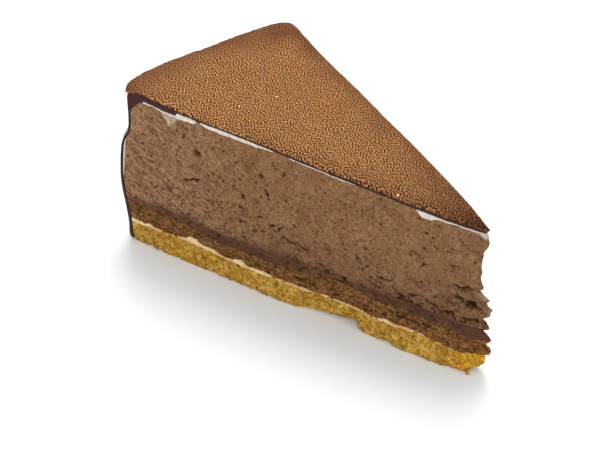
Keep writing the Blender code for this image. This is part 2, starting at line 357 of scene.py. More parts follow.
def add_node(tree, kind, inputs=(), **settings):
    """Adds a node, with its settings, and sets each input to a value or joins it to a socket."""
    made = tree.nodes.new(kind)
    for setting, value in settings.items():
        setattr(made, setting, value)
    for socket, value in dict(inputs).items():
        if isinstance(value, bpy.types.NodeSocket):
            tree.links.new(value, made.inputs[socket])
        else:
            made.inputs[socket].default_value = value
    return made


def add_math(tree, operation, *values):
    return add_node(tree, "ShaderNodeMath", enumerate(values), operation=operation).outputs[0]


def add_mix(tree, share, low, high, blend_type="MIX"):
    """Mixes two colours and returns the result's socket."""
    inputs = {0: share, 6: low, 7: high}
    mix = add_node(tree, "ShaderNodeMix", inputs, data_type="RGBA", blend_type=blend_type)
    return mix.outputs[2]


def add_span(tree, value, low, high, to_low=0.0, to_high=1.0):
    """Maps a value from one span to another, held at its ends."""
    inputs = {"Value": value, "From Min": low, "From Max": high, "To Min": to_low, "To Max": to_high}
    return add_node(tree, "ShaderNodeMapRange", inputs, clamp=True).outputs[0]


def new_group(name, inputs, outputs):
    """A shader node group with named float or vector sockets, and its two end nodes."""
    group = bpy.data.node_groups.new(name, "ShaderNodeTree")
    for label, kind in inputs:
        group.interface.new_socket(label, in_out="INPUT", socket_type=f"NodeSocket{kind}")
    for label in outputs:
        group.interface.new_socket(label, in_out="OUTPUT", socket_type="NodeSocketFloat")
    return group, group.nodes.new("NodeGroupInput"), group.nodes.new("NodeGroupOutput")


def mottle_group():
    """Cloudy patches of a size in metres, from 0 to 1, as hard at their edges as Contrast says."""
    inputs = (("Vector", "Vector"), ("Size", "Float"), ("Contrast", "Float"))
    group, given, result = new_group("mottle", inputs, ("Patches",))
    scale = add_math(group, "DIVIDE", 1.0, given.outputs["Size"])
    cloud_inputs = {"Vector": given.outputs["Vector"], "Scale": scale, "Detail": 3.0, "Roughness": 0.55}
    cloud = add_node(group, "ShaderNodeTexNoise", cloud_inputs)
    half = add_math(group, "DIVIDE", 0.5, given.outputs["Contrast"])
    low = add_math(group, "SUBTRACT", 0.5, half)
    high = add_math(group, "ADD", 0.5, half)
    patches = add_span(group, cloud.outputs[0], low, high)
    group.links.new(patches, result.inputs["Patches"])
    return group


def pinhole_group():
    """Small round holes, one in some of the cells of a given size, as a mask from 0 to 1."""
    inputs = (("Vector", "Vector"), ("Cell", "Float"), ("Radius", "Float"), ("Share", "Float"))
    group, given, result = new_group("pinholes", inputs, ("Hole",))
    scale = add_math(group, "DIVIDE", 1.0, given.outputs["Cell"])
    cells = add_node(group, "ShaderNodeTexVoronoi", {"Vector": given.outputs["Vector"], "Scale": scale})
    dice = add_node(group, "ShaderNodeSeparateColor", {"Color": cells.outputs["Color"]})
    radius = add_math(group, "MULTIPLY", given.outputs["Radius"], dice.outputs["Green"])
    wide = add_math(group, "DIVIDE", radius, given.outputs["Cell"])
    near = add_math(group, "DIVIDE", cells.outputs["Distance"], wide)
    hole = add_span(group, near, 1.0, 0.35)
    chosen = add_math(group, "LESS_THAN", dice.outputs["Red"], given.outputs["Share"])
    group.links.new(add_math(group, "MULTIPLY", hole, chosen), result.inputs["Hole"])
    return group


def wisp_group():
    """Thin winding threads of a size in metres, as a mask from 0 to 1."""
    inputs = (("Vector", "Vector"), ("Size", "Float"), ("Width", "Float"))
    group, given, result = new_group("wisps", inputs, ("Thread",))
    scale = add_math(group, "DIVIDE", 1.0, given.outputs["Size"])
    cloud_inputs = {"Vector": given.outputs["Vector"], "Scale": scale, "Detail": 2.0, "Roughness": 0.6}
    cloud = add_node(group, "ShaderNodeTexNoise", cloud_inputs)
    off = add_math(group, "ABSOLUTE", add_math(group, "SUBTRACT", cloud.outputs[0], 0.5))
    near = add_math(group, "DIVIDE", off, given.outputs["Width"])
    group.links.new(add_span(group, near, 1.0, 0.0), result.inputs["Thread"])
    return group


MOTTLE = mottle_group()
PINHOLES = pinhole_group()
WISPS = wisp_group()


def place_group(tree, group, **inputs):
    """Places a node group in a material, with its own values."""
    made = add_node(tree, "ShaderNodeGroup", (), node_tree=group)
    for label, value in inputs.items():
        if isinstance(value, bpy.types.NodeSocket):
            tree.links.new(value, made.inputs[label])
        else:
            made.inputs[label].default_value = value
    return made.outputs[0]


def new_material(name):
    """An empty material with its Principled shader, and where on the object it is being painted."""
    material = bpy.data.materials.new(name)
    material.use_nodes = True
    tree = material.node_tree
    where = tree.nodes.new("ShaderNodeTexCoord").outputs["Object"]
    return material, tree, tree.nodes["Principled BSDF"], where


def read_mark(tree, label):
    """How strongly a mark on the mesh, such as painted shade in pores or a stain, shows at each place."""
    return add_node(tree, "ShaderNodeAttribute", attribute_name=label).outputs["Fac"]


def scatter_tree():
    """Scatters crumbs of sizes from Smallest to Largest over a surface, as thick as 'loose' says."""
    tree = bpy.data.node_groups.new("scatter_crumbs", "GeometryNodeTree")
    sockets = (("Density", "Float"), ("Smallest", "Float"), ("Largest", "Float"), ("Seed", "Int"))
    for label, kind in (("Geometry", "Geometry"), *sockets, ("Finish", "Material")):
        tree.interface.new_socket(label, in_out="INPUT", socket_type=f"NodeSocket{kind}")
    tree.interface.new_socket("Geometry", in_out="OUTPUT", socket_type="NodeSocketGeometry")
    given, result = tree.nodes.new("NodeGroupInput"), tree.nodes.new("NodeGroupOutput")
    loose = add_node(tree, "GeometryNodeInputNamedAttribute", {"Name": "loose"}, data_type="FLOAT")
    thick = add_math(tree, "MULTIPLY", given.outputs["Density"], loose.outputs["Attribute"])
    spots = {"Mesh": given.outputs["Geometry"], "Density": thick, "Seed": given.outputs["Seed"]}
    points = add_node(tree, "GeometryNodeDistributePointsOnFaces", spots)
    crumb = add_node(tree, "GeometryNodeMeshIcoSphere", {"Radius": 1.0, "Subdivisions": 1})
    spin = {0: (0.0, 0.0, 0.0), 1: (6.28, 6.28, 6.28), "Seed": given.outputs["Seed"]}
    turned = add_node(tree, "FunctionNodeRandomValue", spin, data_type="FLOAT_VECTOR")
    span = {2: given.outputs["Smallest"], 3: given.outputs["Largest"], "Seed": given.outputs["Seed"]}
    size = add_node(tree, "FunctionNodeRandomValue", span, data_type="FLOAT")
    uneven = {0: (0.7, 0.7, 0.7), 1: (1.3, 1.3, 1.3), "Seed": given.outputs["Seed"]}
    shape = add_node(tree, "FunctionNodeRandomValue", uneven, data_type="FLOAT_VECTOR")
    scale = {0: shape.outputs[0], "Scale": size.outputs[1]}
    scale = add_node(tree, "ShaderNodeVectorMath", scale, operation="SCALE")
    placed = {"Points": points.outputs["Points"], "Instance": crumb.outputs["Mesh"]}
    placed = {**placed, "Scale": scale.outputs[0], "Rotation": turned.outputs[0]}
    crumbs = add_node(tree, "GeometryNodeInstanceOnPoints", placed)
    real = add_node(tree, "GeometryNodeRealizeInstances", {"Geometry": crumbs.outputs[0]})
    inputs = {"Geometry": real.outputs[0], "Material": given.outputs["Finish"]}
    tree.links.new(add_node(tree, "GeometryNodeSetMaterial", inputs).outputs[0], result.inputs["Geometry"])
    return tree


SCATTER = scatter_tree()


def grow(data, tree, name, **inputs):
    """Runs a Geometry Nodes tree on a mesh and returns what it makes as a plain mesh."""
    carrier = bpy.data.objects.new("carrier", data)
    bpy.context.scene.collection.objects.link(carrier)
    modifier = carrier.modifiers.new(tree.name, "NODES")
    modifier.node_group = tree
    for socket in tree.interface.items_tree:
        if socket.in_out == "INPUT" and socket.name in inputs:
            modifier[socket.identifier] = inputs[socket.name]
    seen = carrier.evaluated_get(bpy.context.evaluated_depsgraph_get())
    made = bpy.data.meshes.new_from_object(seen)
    made.name = name
    carrier.modifiers.remove(modifier)
    bpy.data.objects.remove(carrier)
    return made


def sponge_material():
    """Pale straw crumb with painted shade in its pores, and painted light and orange crust at the tip."""
    material, tree, shader, where = new_material("yellow_sponge_crumb")
    pit_shade = read_mark(tree, "pit_shade")
    baked = read_mark(tree, "stain")
    tip_glow = read_mark(tree, "smear_and_glow")
    clouds = place_group(tree, MOTTLE, Vector=where, Size=0.0026, Contrast=2.4)
    crumbs = place_group(tree, MOTTLE, Vector=where, Size=0.0008, Contrast=2.4)
    holes = place_group(tree, PINHOLES, Vector=where, Cell=0.0011, Radius=0.0006, Share=0.55)
    colour = add_mix(tree, clouds, paint(170, 122, 16), paint(238, 194, 104))
    # Painted light: the thin tip glows golden.
    colour = add_mix(tree, add_math(tree, "MULTIPLY", tip_glow, 0.8), colour, paint(246, 186, 44))
    # Painted shade in the pores: the olive brown crumb patches, the pinholes and the pits.
    colour = add_mix(tree, add_math(tree, "MULTIPLY", crumbs, 0.7), colour, paint(136, 92, 6))
    colour = add_mix(tree, baked, colour, paint(206, 128, 30))
    colour = add_mix(tree, add_math(tree, "MULTIPLY", holes, 0.7), colour, paint(104, 66, 0))
    colour = add_mix(tree, pit_shade, colour, paint(86, 52, 0))
    tree.links.new(colour, shader.inputs["Base Color"])
    height = add_math(tree, "SUBTRACT", crumbs, holes)
    bump = add_node(tree, "ShaderNodeBump", {"Height": height, "Strength": 0.5, "Distance": 0.00025})
    tree.links.new(bump.outputs[0], shader.inputs["Normal"])
    shader.inputs["Roughness"].default_value = 0.9
    shader.inputs["Specular IOR Level"].default_value = 0.08
    return material


def yellow_floor(run, turn):
    return np.where(turn == -1, read_line(CHIP, run), 0.0)


def yellow_roof(run, turn):
    return layer_height(YELLOW_TOP, run, turn)


def press_flat(data):
    """Keeps a mesh on the table: what would reach below it is pressed up to it."""
    for corner in data.vertices:
        corner.co.z = max(corner.co.z, 0.0)


def build_yellow_sponge():
    wall = CutWall(yellow_floor, yellow_roof, rows=26)
    crumble = np.clip(1 - wall.above_floor / 2.2, 0, 1) ** 2
    wall.relief += 0.30 * wall.noise(2.4, 31) + 0.22 * wall.noise(1.0, 32) + 0.16 * wall.noise(0.55, 33)
    wall.relief -= crumble * (0.2 + 0.7 * wall.noise(1.3, 34) + 0.7 * wall.noise(4.5, 35))
    wall.relief += wall.near_tip * (0.7 * wall.noise(1.8, 36) + 0.4 * wall.noise(0.8, 38))
    wall.pores(2600, 0.16, 0.5, 0.9, 0.7, seed=3)
    wall.pores(420, 0.35, 0.8, 0.7, 0.55, seed=15, stretch=1.8)
    wall.cracks(1.6, 0.10, 0.3, 39, share=0.6)
    # Painted light: the sponge glows golden over the last eleven millimetres before the tip.
    wall.smear_and_glow += ease(1 - wall.run / 11)[:, None] * ease(0.9 + wall.noise(2.4, 37))
    wall.stain += ease(1 - wall.run / 9)[:, None] * ease(1.0 - wall.above_floor / 1.9 + wall.noise(1.6, 40))
    flake = ease(1.4 - np.abs(wall.run - 2.4) / 2.2)[:, None] * (wall.turn == -1)[:, None]
    flake = flake * ease(1.3 - wall.above_floor / 1.5 + 0.4 * wall.noise(1.2, 41))
    wall.relief += 0.9 * flake
    wall.stain = np.maximum(wall.stain, 0.9 * flake)
    wall.loose += wall.shown * (0.45 + 0.4 * ease(1 - wall.above_floor / 1.5))
    base = wall.solid("yellow_sponge_base", sponge_material())
    press_flat(base.data)
    return base


yellow = build_yellow_sponge()
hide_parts("yellow_sponge")

def build_fallen_crumbs():
    mesh = bmesh.new()
    for along, across, radius in FALLEN:
        made = bmesh.ops.create_icosphere(mesh, subdivisions=3, radius=radius * MM)
        place = np.array((along, across, 0.9 * radius))
        for corner in made["verts"]:
            spot = np.array(corner.co / MM) + place
            corner.co *= 1 + 0.3 * float(lumps(spot, 0.6, 45)) + 0.15 * float(lumps(spot, 0.25, 46))
            corner.co += Vector(place * MM)
    data = bpy.data.meshes.new("fallen_crumbs")
    mesh.to_mesh(data)
    mesh.free()
    press_flat(data)
    data.materials.append(yellow.data.materials[0])
    return show("fallen_crumbs", data)


scattered = grow(
    yellow.data, SCATTER, "yellow_crumbs",
    Density=5.0e5, Smallest=0.00014, Largest=0.00042, Seed=4, Finish=yellow.data.materials[0],
)
yellow_crumbs = show("yellow_crumbs", scattered)
press_flat(yellow_crumbs.data)

fallen_crumbs = build_fallen_crumbs()


# The cream film
# Whipped cream spread on the yellow sponge to hold the next layer. The weight above pressed it to
# almost nothing, so it shows as a broken pale line with a few thicker blobs.

FILM_DEPTH = (
    (0, 0.05), (6, 0.1), (9, 0.2), (15, 0.3), (19, 0.35), (26, 0.35), (29, 0.7), (33, 0.3),
    (45, 0.35), (60, 0.3), (69, 0.3), (71, 0.55), (76, 0.6), (78.5, 0.3), (81, 1.1), (83, 1.2),
    (84.5, 0.4), (90, 0.5), (93, 0.8), (95, 1.0), (97.2, 1.2), (99, 1.5), (100.5, 1.5),
    (101.8, 0.6), (104, 0.45), (108, 0.3), (112, 0.3), (116, 0.7), (125, 0.8),
)


def film_depth(run, turn):
    """Thickness of the film, read further along the line at the back cut than at the front."""
    wander = lumps(unrolled(run, turn, 30), 1.2, 41)
    depth = read_line(FILM_DEPTH, (run + 17 * (turn + 1)) % RADIUS) * (1 + 0.55 * wander)
    return np.clip(depth + 0.12 * wander, 0.05, None)


def film_roof(run, turn):
    return yellow_roof(run, turn) + film_depth(run, turn)


def cream_material():
    """Cream, slightly yellowed where it soaked into the crumb."""
    material, tree, shader, where = new_material("pressed_cream")
    soaked = place_group(tree, MOTTLE, Vector=where, Size=0.0012, Contrast=2.5)
    thin = read_mark(tree, "stain")
    colour = add_mix(tree, soaked, paint(230, 210, 166), paint(208, 174, 114))
    colour = add_mix(tree, add_math(tree, "MULTIPLY", thin, 0.75), colour, paint(204, 160, 106))
    tree.links.new(colour, shader.inputs["Base Color"])
    bump = add_node(tree, "ShaderNodeBump", {"Height": soaked, "Strength": 0.4, "Distance": 0.0002})
    tree.links.new(bump.outputs[0], shader.inputs["Normal"])
    shader.inputs["Roughness"].default_value = 0.5
    shader.inputs["Subsurface Weight"].default_value = 0.2
    shader.inputs["Subsurface Radius"].default_value = (0.002, 0.0014, 0.0008)
    shader.inputs["Subsurface Scale"].default_value = 1.0
    return material


def build_cream_film():
    wall = CutWall(yellow_roof, film_roof, rows=5)
    wall.relief += 0.25 + 0.2 * wall.noise(1.1, 42)
    depth = film_depth(wall.run, wall.turn)[:, None]
    wall.relief -= 0.7 * ease((0.34 - depth) / 0.2)
    wall.stain += ease((0.8 - depth) / 0.4)
    return wall.solid("cream_film_pressed", cream_material())


film = build_cream_film()
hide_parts("cream_film")


# The cocoa sponge
# A second sheet of sponge, dark with cocoa and coarser than the first. It compresses into flat
# cells, so its holes and crumbs run lengthways at the cut.

COCOA_TOP = (
    (0, 12.4), (5, 12.6), (12, 13.0), (20, 13.3), (35, 13.4), (45, 14.5), (58, 13.2), (75, 12.4),
    (92, 12.5), (100, 13.6), (125, 13.9),
)


def cocoa_roof(run, turn):
    return layer_height(COCOA_TOP, run, turn)


def cocoa_sponge_material():
    """Cocoa crumb: olive brown ridges over holes made nearly black with painted shade."""
    material, tree, shader, where = new_material("cocoa_sponge_crumb")
    pit_shade = read_mark(tree, "pit_shade")
    flat = add_node(tree, "ShaderNodeMapping", {"Vector": where, "Scale": (1.0, 1.0, 2.6)}).outputs[0]
    clouds = place_group(tree, MOTTLE, Vector=flat, Size=0.006, Contrast=2.4)
    crumbs = place_group(tree, MOTTLE, Vector=flat, Size=0.0011, Contrast=2.6)
    holes = place_group(tree, PINHOLES, Vector=flat, Cell=0.0011, Radius=0.0006, Share=0.55)
    colour = add_mix(tree, clouds, paint(138, 94, 52), paint(176, 128, 78))
    # Painted shade in the holes between crumbs: the dark crumb patches, the pinholes and the pits.
    colour = add_mix(tree, add_math(tree, "MULTIPLY", crumbs, 0.93), colour, paint(72, 40, 15))
    colour = add_mix(tree, add_math(tree, "MULTIPLY", holes, 0.5), colour, paint(54, 28, 8))
    colour = add_mix(tree, pit_shade, colour, paint(34, 16, 4))
    at_tip = add_node(tree, "ShaderNodeSeparateXYZ", {"Vector": where}).outputs["X"]
    at_tip = add_math(tree, "MULTIPLY", add_span(tree, at_tip, 0.0630, 0.0655, 0.0, 0.5), crumbs)
    colour = add_mix(tree, at_tip, colour, paint(170, 96, 44))
    tree.links.new(colour, shader.inputs["Base Color"])
    height = add_math(tree, "SUBTRACT", crumbs, holes)
    bump = add_node(tree, "ShaderNodeBump", {"Height": height, "Strength": 0.7, "Distance": 0.0003})
    tree.links.new(bump.outputs[0], shader.inputs["Normal"])
    shader.inputs["Roughness"].default_value = 0.9
    shader.inputs["Specular IOR Level"].default_value = 0.06
    return material


def build_cocoa_sponge():
    wall = CutWall(film_roof, cocoa_roof, rows=20)
    flat = wall.points * (1, 1, 2.8)
    wall.relief += 0.34 * lumps(flat, 2.8, 51) + 0.30 * lumps(flat, 1.3, 52) + 0.16 * wall.noise(0.6, 53)
    wall.relief += wall.near_tip * (0.8 * lumps(flat, 2.4, 54) + 0.4 * wall.noise(0.9, 55))
    wall.cracks(1.7, 0.12, 0.5, 56)
    wall.tear(((27.0, 10.6), (22.0, 10.9), (17.0, 10.7), (13.5, 11.0)), 0.5, 0.9)
    wall.tear(((62.0, 10.6), (58.0, 10.4)), 0.4, 0.7)
    wall.loose += wall.shown
    wall.pores(1900, 0.14, 0.42, 1.0, 0.85, seed=5, stretch=3.2, lean=0.3)
    return wall.solid("cocoa_sponge_layer", cocoa_sponge_material())


cocoa_sponge = build_cocoa_sponge()
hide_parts("cocoa_sponge")

scattered = grow(
    cocoa_sponge.data, SCATTER, "cocoa_sponge_crumbs",
    Density=6.0e5, Smallest=0.00012, Largest=0.00034, Seed=5, Finish=cocoa_sponge.data.materials[0],
)
cocoa_crumbs = show("cocoa_sponge_crumbs", scattered)


# The ganache seam
# Dark ganache poured thinly over the cocoa sponge. It is smooth and dense, purplish beside the
# brown layers, and the knife has dragged it out or left it short in places.

GANACHE_TOP = (
    (0, 15.3), (5, 15.5), (12, 16.1), (20, 16.7), (35, 16.3), (45, 15.5), (58, 16.6), (75, 15.5),
    (95, 15.7), (106, 16.3), (114, 16.0), (119, 15.0), (125, 15.0),
)


def ganache_roof(run, turn):
    return layer_height(GANACHE_TOP, run, turn)


def ganache_material():
    material, tree, shader, where = new_material("ganache_cut")
    pit_shade = read_mark(tree, "pit_shade")
    long = add_node(tree, "ShaderNodeMapping", {"Vector": where, "Scale": (0.5, 0.5, 2.0)}).outputs[0]
    clouds = place_group(tree, MOTTLE, Vector=long, Size=0.006, Contrast=3.0)
    grain = place_group(tree, MOTTLE, Vector=where, Size=0.0009, Contrast=2.0)
    colour = add_mix(tree, clouds, paint(76, 47, 34), paint(99, 64, 38))
    torn = read_mark(tree, "stain")
    rough = place_group(tree, MOTTLE, Vector=where, Size=0.0013, Contrast=2.4)
    crumbs = add_mix(tree, rough, paint(84, 52, 30), paint(126, 84, 50))
    colour = add_mix(tree, torn, colour, crumbs)
    colour = add_mix(tree, add_math(tree, "MULTIPLY", grain, 0.35), colour, paint(66, 38, 26))
    # Painted shade in the pits.
    colour = add_mix(tree, pit_shade, colour, paint(34, 16, 6))
    tree.links.new(colour, shader.inputs["Base Color"])
    bump = add_node(tree, "ShaderNodeBump", {"Height": grain, "Strength": 0.4, "Distance": 0.0002})
    tree.links.new(bump.outputs[0], shader.inputs["Normal"])
    shader.inputs["Roughness"].default_value = 0.6
    shader.inputs["Specular IOR Level"].default_value = 0.12
    return material


def build_ganache():
    wall = CutWall(cocoa_roof, ganache_roof, rows=9)
    long = wall.points * (0.5, 0.5, 2.0)
    wall.relief += 0.2 * lumps(long, 2.0, 61) + 0.12 * wall.noise(0.9, 62)
    wall.relief += wall.near_tip * 0.5 * wall.noise(1.9, 63)
    torn = ease((np.abs(wall.run - 48) - 13) / -8) + ease((wall.run - 112) / 5)
    wall.stain += np.clip(torn[:, None] + 0.9 * ease(wall.noise(3.0, 65) * 2 - 0.6), 0, 1)
    wall.relief += wall.stain * (0.3 * wall.noise(1.4, 66) + 0.25 * wall.noise(0.7, 67))
    wall.cracks(2.0, 0.12, 0.6, 64, share=0.4 + 0.6 * wall.stain)
    wall.pores(260, 0.2, 0.6, 0.9, 0.8, seed=7, stretch=3.0)
    wall.tear(((53, 14.6), (50, 13.4), (47, 14.6), (45, 16.0)), 0.5, 0.8)
    return wall.solid("ganache_seam", ganache_material())


ganache = build_ganache()
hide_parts("ganache")


# The chocolate mousse
# A deep bed of airy mousse, set firm. The knife leaves it full of small pores, with a few large
# bubbles cut open, faint streaks towards the rim, and tears along its foot and at the blunt tip.

CREST = (
    (0, 49.7), (5, 50.8), (15, 51.7), (40, 53.2), (60, 54.1), (80, 55.2), (100, 55.6), (115, 56.6),
    (125, 57.2),
)
EDGE_DROP = 1.1
SHOULDER = RADIUS - 6.0
OUTER_CORNER = (5.0, 4.0)
INNER_CORNER = (9.0, 1.25)
CORNER_LENGTH = 8.0
WALL_LENGTH = 50.0
PROFILE_LENGTH = SHOULDER + CORNER_LENGTH + WALL_LENGTH
FOOT = 0.8
DUST = 0.5
GLAZE_DEPTH = (
    (0, 0.6), (10, 0.65), (22, 0.6), (32, 0.6), (45, 0.6), (60, 0.45), (70, 0.35), (100, 0.35),
    (105.6, 0.5), (106.3, 1.9), (113, 1.9), (117.9, 1.7), (118.7, 2.6), (125, 2.7),
)
ICING_DEPTH = (
    (0, 2.0), (1.2, 1.1), (2.6, 0.65), (8, 0.45), (12, 0.6), (15.6, 0.8), (17.3, 1.9), (20.4, 2.0),
    (21.8, 0.4), (23, 0.0), (38, 0.0), (44, 0.35), (62, 0.35), (66, 0.2), (70, 0.1), (72, 0.5),
    (77, 1.0), (90, 1.3), (95, 1.0), (96.6, 0.8), (97.0, 0.15), (98.0, 0.15), (98.5, 1.1),
    (100, 1.6), (105.6, 1.9), (106.3, 0.9), (109, 0.9), (112, 0.45), (114, 0.3), (116, 0.5),
    (117.6, 0.75), (118.7, 0.08), (125, 0.08),
)


def crest(run, turn):
    """Height of the cocoa top, drawn down along both cuts by the knife, but less at the tip."""
    near_cut = np.where(turn < 0, turn**8, turn**14)
    return read_line(CREST, run) - EDGE_DROP * (0.3 + 0.7 * ease(run / 30)) * near_cut


def line_across(line, run, turn):
    """A depth line, read from another stretch of itself at the back cut and a little unsteady."""
    shifted = np.clip(run - 9 * (turn + 1) * np.sin(run / 14.0), 0, RADIUS)
    at, depth = np.array(line).T
    return np.interp(shifted, at, depth) + 0.1 * lumps(unrolled(run, turn, 30), 1.5, 71)


def glaze_sink(run, turn):
    return DUST + 0.1 * lumps(unrolled(run, turn, 30), 2.5, 72)


def icing_sink(run, turn):
    return glaze_sink(run, turn) + np.clip(line_across(GLAZE_DEPTH, run, turn), 0.3, None)


def mousse_sink(run, turn):
    return icing_sink(run, turn) + np.clip(line_across(ICING_DEPTH, run, turn), 0.02, None)


def skin(station, turn, sink, inset, corner):
    """Run and height of a skin at a station: along the top, round the corner, then down the wall."""
    drop, squareness = corner
    shoulder = 0 * turn + SHOULDER
    corner_foot = crest(shoulder, 0) - drop
    if station <= SHOULDER:
        run = 0 * turn + station
        return run, crest(run, turn) - sink(run, turn)
    if station <= SHOULDER + CORNER_LENGTH:
        angle = 0.5 * math.pi * (station - SHOULDER) / CORNER_LENGTH
        out = math.sin(angle) ** (2 / squareness)
        up = max(math.cos(angle), 0.0) ** (2 / squareness)
        rise = crest(shoulder, turn) - sink(shoulder, turn) - corner_foot
        height = corner_foot + rise * up
        return shoulder + (RADIUS - inset(height) - SHOULDER) * out, height
    down = (station - SHOULDER - CORNER_LENGTH) / WALL_LENGTH
    height = corner_foot + (FOOT - corner_foot) * down
    return RADIUS - inset(height), height


def mousse_roof(run, turn):
    """Underside of the coats over the mousse, sloping down to fill the corner at the rim."""
    past = np.clip((run - SHOULDER) / (INSIDE - SHOULDER), 0, 1)
    drop, squareness = INNER_CORNER
    foot = crest(0 * run + SHOULDER, 0) - drop
    flat = np.minimum(run, SHOULDER)
    top = crest(flat, turn) - mousse_sink(flat, turn)
    return foot + (top - foot) * np.clip(1 - past**squareness, 0, 1) ** (1 / squareness)


def mousse_material():
    """Cocoa brown mousse, cloudy with lighter and rosier patches, with painted shade inside every pore."""
    material, tree, shader, where = new_material("chocolate_mousse_cut")
    pit_shade = read_mark(tree, "pit_shade")
    smear = read_mark(tree, "stain")
    clouds = place_group(tree, MOTTLE, Vector=where, Size=0.007, Contrast=2.0)
    rosy = place_group(tree, MOTTLE, Vector=where, Size=0.004, Contrast=2.0)
    froth = place_group(tree, MOTTLE, Vector=where, Size=0.0005, Contrast=2.4)
    holes = place_group(tree, PINHOLES, Vector=where, Cell=0.0012, Radius=0.00052, Share=0.6)
    leaning = {"Vector": where, "Rotation": (0.0, 0.5, 0.0), "Scale": (1.7, 1.2, 0.8)}
    leaning = add_node(tree, "ShaderNodeMapping", leaning, vector_type="TEXTURE")
    slots = place_group(tree, PINHOLES, Vector=leaning.outputs[0], Cell=0.0015, Radius=0.0005, Share=0.4)
    wisps = place_group(tree, WISPS, Vector=where, Size=0.0030, Width=0.035)
    along = add_node(tree, "ShaderNodeSeparateXYZ", {"Vector": where}).outputs["X"]
    by_rim = add_span(tree, along, -0.015, -0.045)
    at_tip = add_span(tree, along, 0.0625, 0.0650, 0.0, 0.5)
    smear_and_glow = read_mark(tree, "smear_and_glow")
    turned = {"Vector": where, "Rotation": (0.0, 0.42, 0.0), "Scale": (5.0, 5.0, 1.0)}
    slanted = add_node(tree, "ShaderNodeMapping", turned, vector_type="TEXTURE").outputs[0]
    streaks = place_group(tree, MOTTLE, Vector=slanted, Size=0.0007, Contrast=3.2)
    colour = add_mix(tree, clouds, paint(129, 90, 55), paint(164, 126, 87))
    colour = add_mix(tree, add_math(tree, "MULTIPLY", rosy, 0.5), colour, paint(130, 90, 70))
    colour = add_mix(tree, add_math(tree, "MULTIPLY", by_rim, 0.75), colour, paint(188, 146, 112))
    streaks = add_math(tree, "MULTIPLY", streaks, add_span(tree, by_rim, 0.0, 1.0, 0.25, 0.9))
    colour = add_mix(tree, streaks, colour, paint(108, 70, 42))
    # Painted shade in the pores: the fine froth specks, the pinholes, the slots and the pits.
    colour = add_mix(tree, add_math(tree, "MULTIPLY", froth, 0.5), colour, paint(94, 57, 24))
    colour = add_mix(tree, add_math(tree, "MULTIPLY", wisps, 0.3), colour, paint(190, 155, 122))
    colour = add_mix(tree, add_math(tree, "MULTIPLY", holes, 0.85), colour, paint(72, 36, 2))
    colour = add_mix(tree, smear, colour, paint(98, 66, 52))
    colour = add_mix(tree, add_math(tree, "MULTIPLY", at_tip, clouds), colour, paint(160, 104, 54))
    colour = add_mix(tree, add_math(tree, "MULTIPLY", slots, 0.8), colour, paint(68, 34, 2))
    colour = add_mix(tree, pit_shade, colour, paint(56, 27, 2))
    # Pale smears: icing dragged down by the knife, a greyer patch at the tip, and a painted highlight on a
    # torn ledge there.
    dragged = add_node(tree, "ShaderNodeMapping", {"Vector": where, "Scale": (1.0, 1.0, 0.3)}).outputs[0]
    dragged = place_group(tree, MOTTLE, Vector=dragged, Size=0.0006, Contrast=3.0)
    dragged = add_span(tree, dragged, 0.0, 1.0, 0.25, 1.0)
    colour = add_mix(tree, add_math(tree, "MULTIPLY", smear_and_glow, dragged), colour, paint(196, 174, 150))
    tree.links.new(colour, shader.inputs["Base Color"])
    height = add_math(tree, "SUBTRACT", add_math(tree, "SUBTRACT", froth, holes), slots)
    bump = add_node(tree, "ShaderNodeBump", {"Height": height, "Strength": 0.7, "Distance": 0.00025})
    tree.links.new(bump.outputs[0], shader.inputs["Normal"])
    shader.inputs["Roughness"].default_value = 0.8
    shader.inputs["Specular IOR Level"].default_value = 0.1
    return material


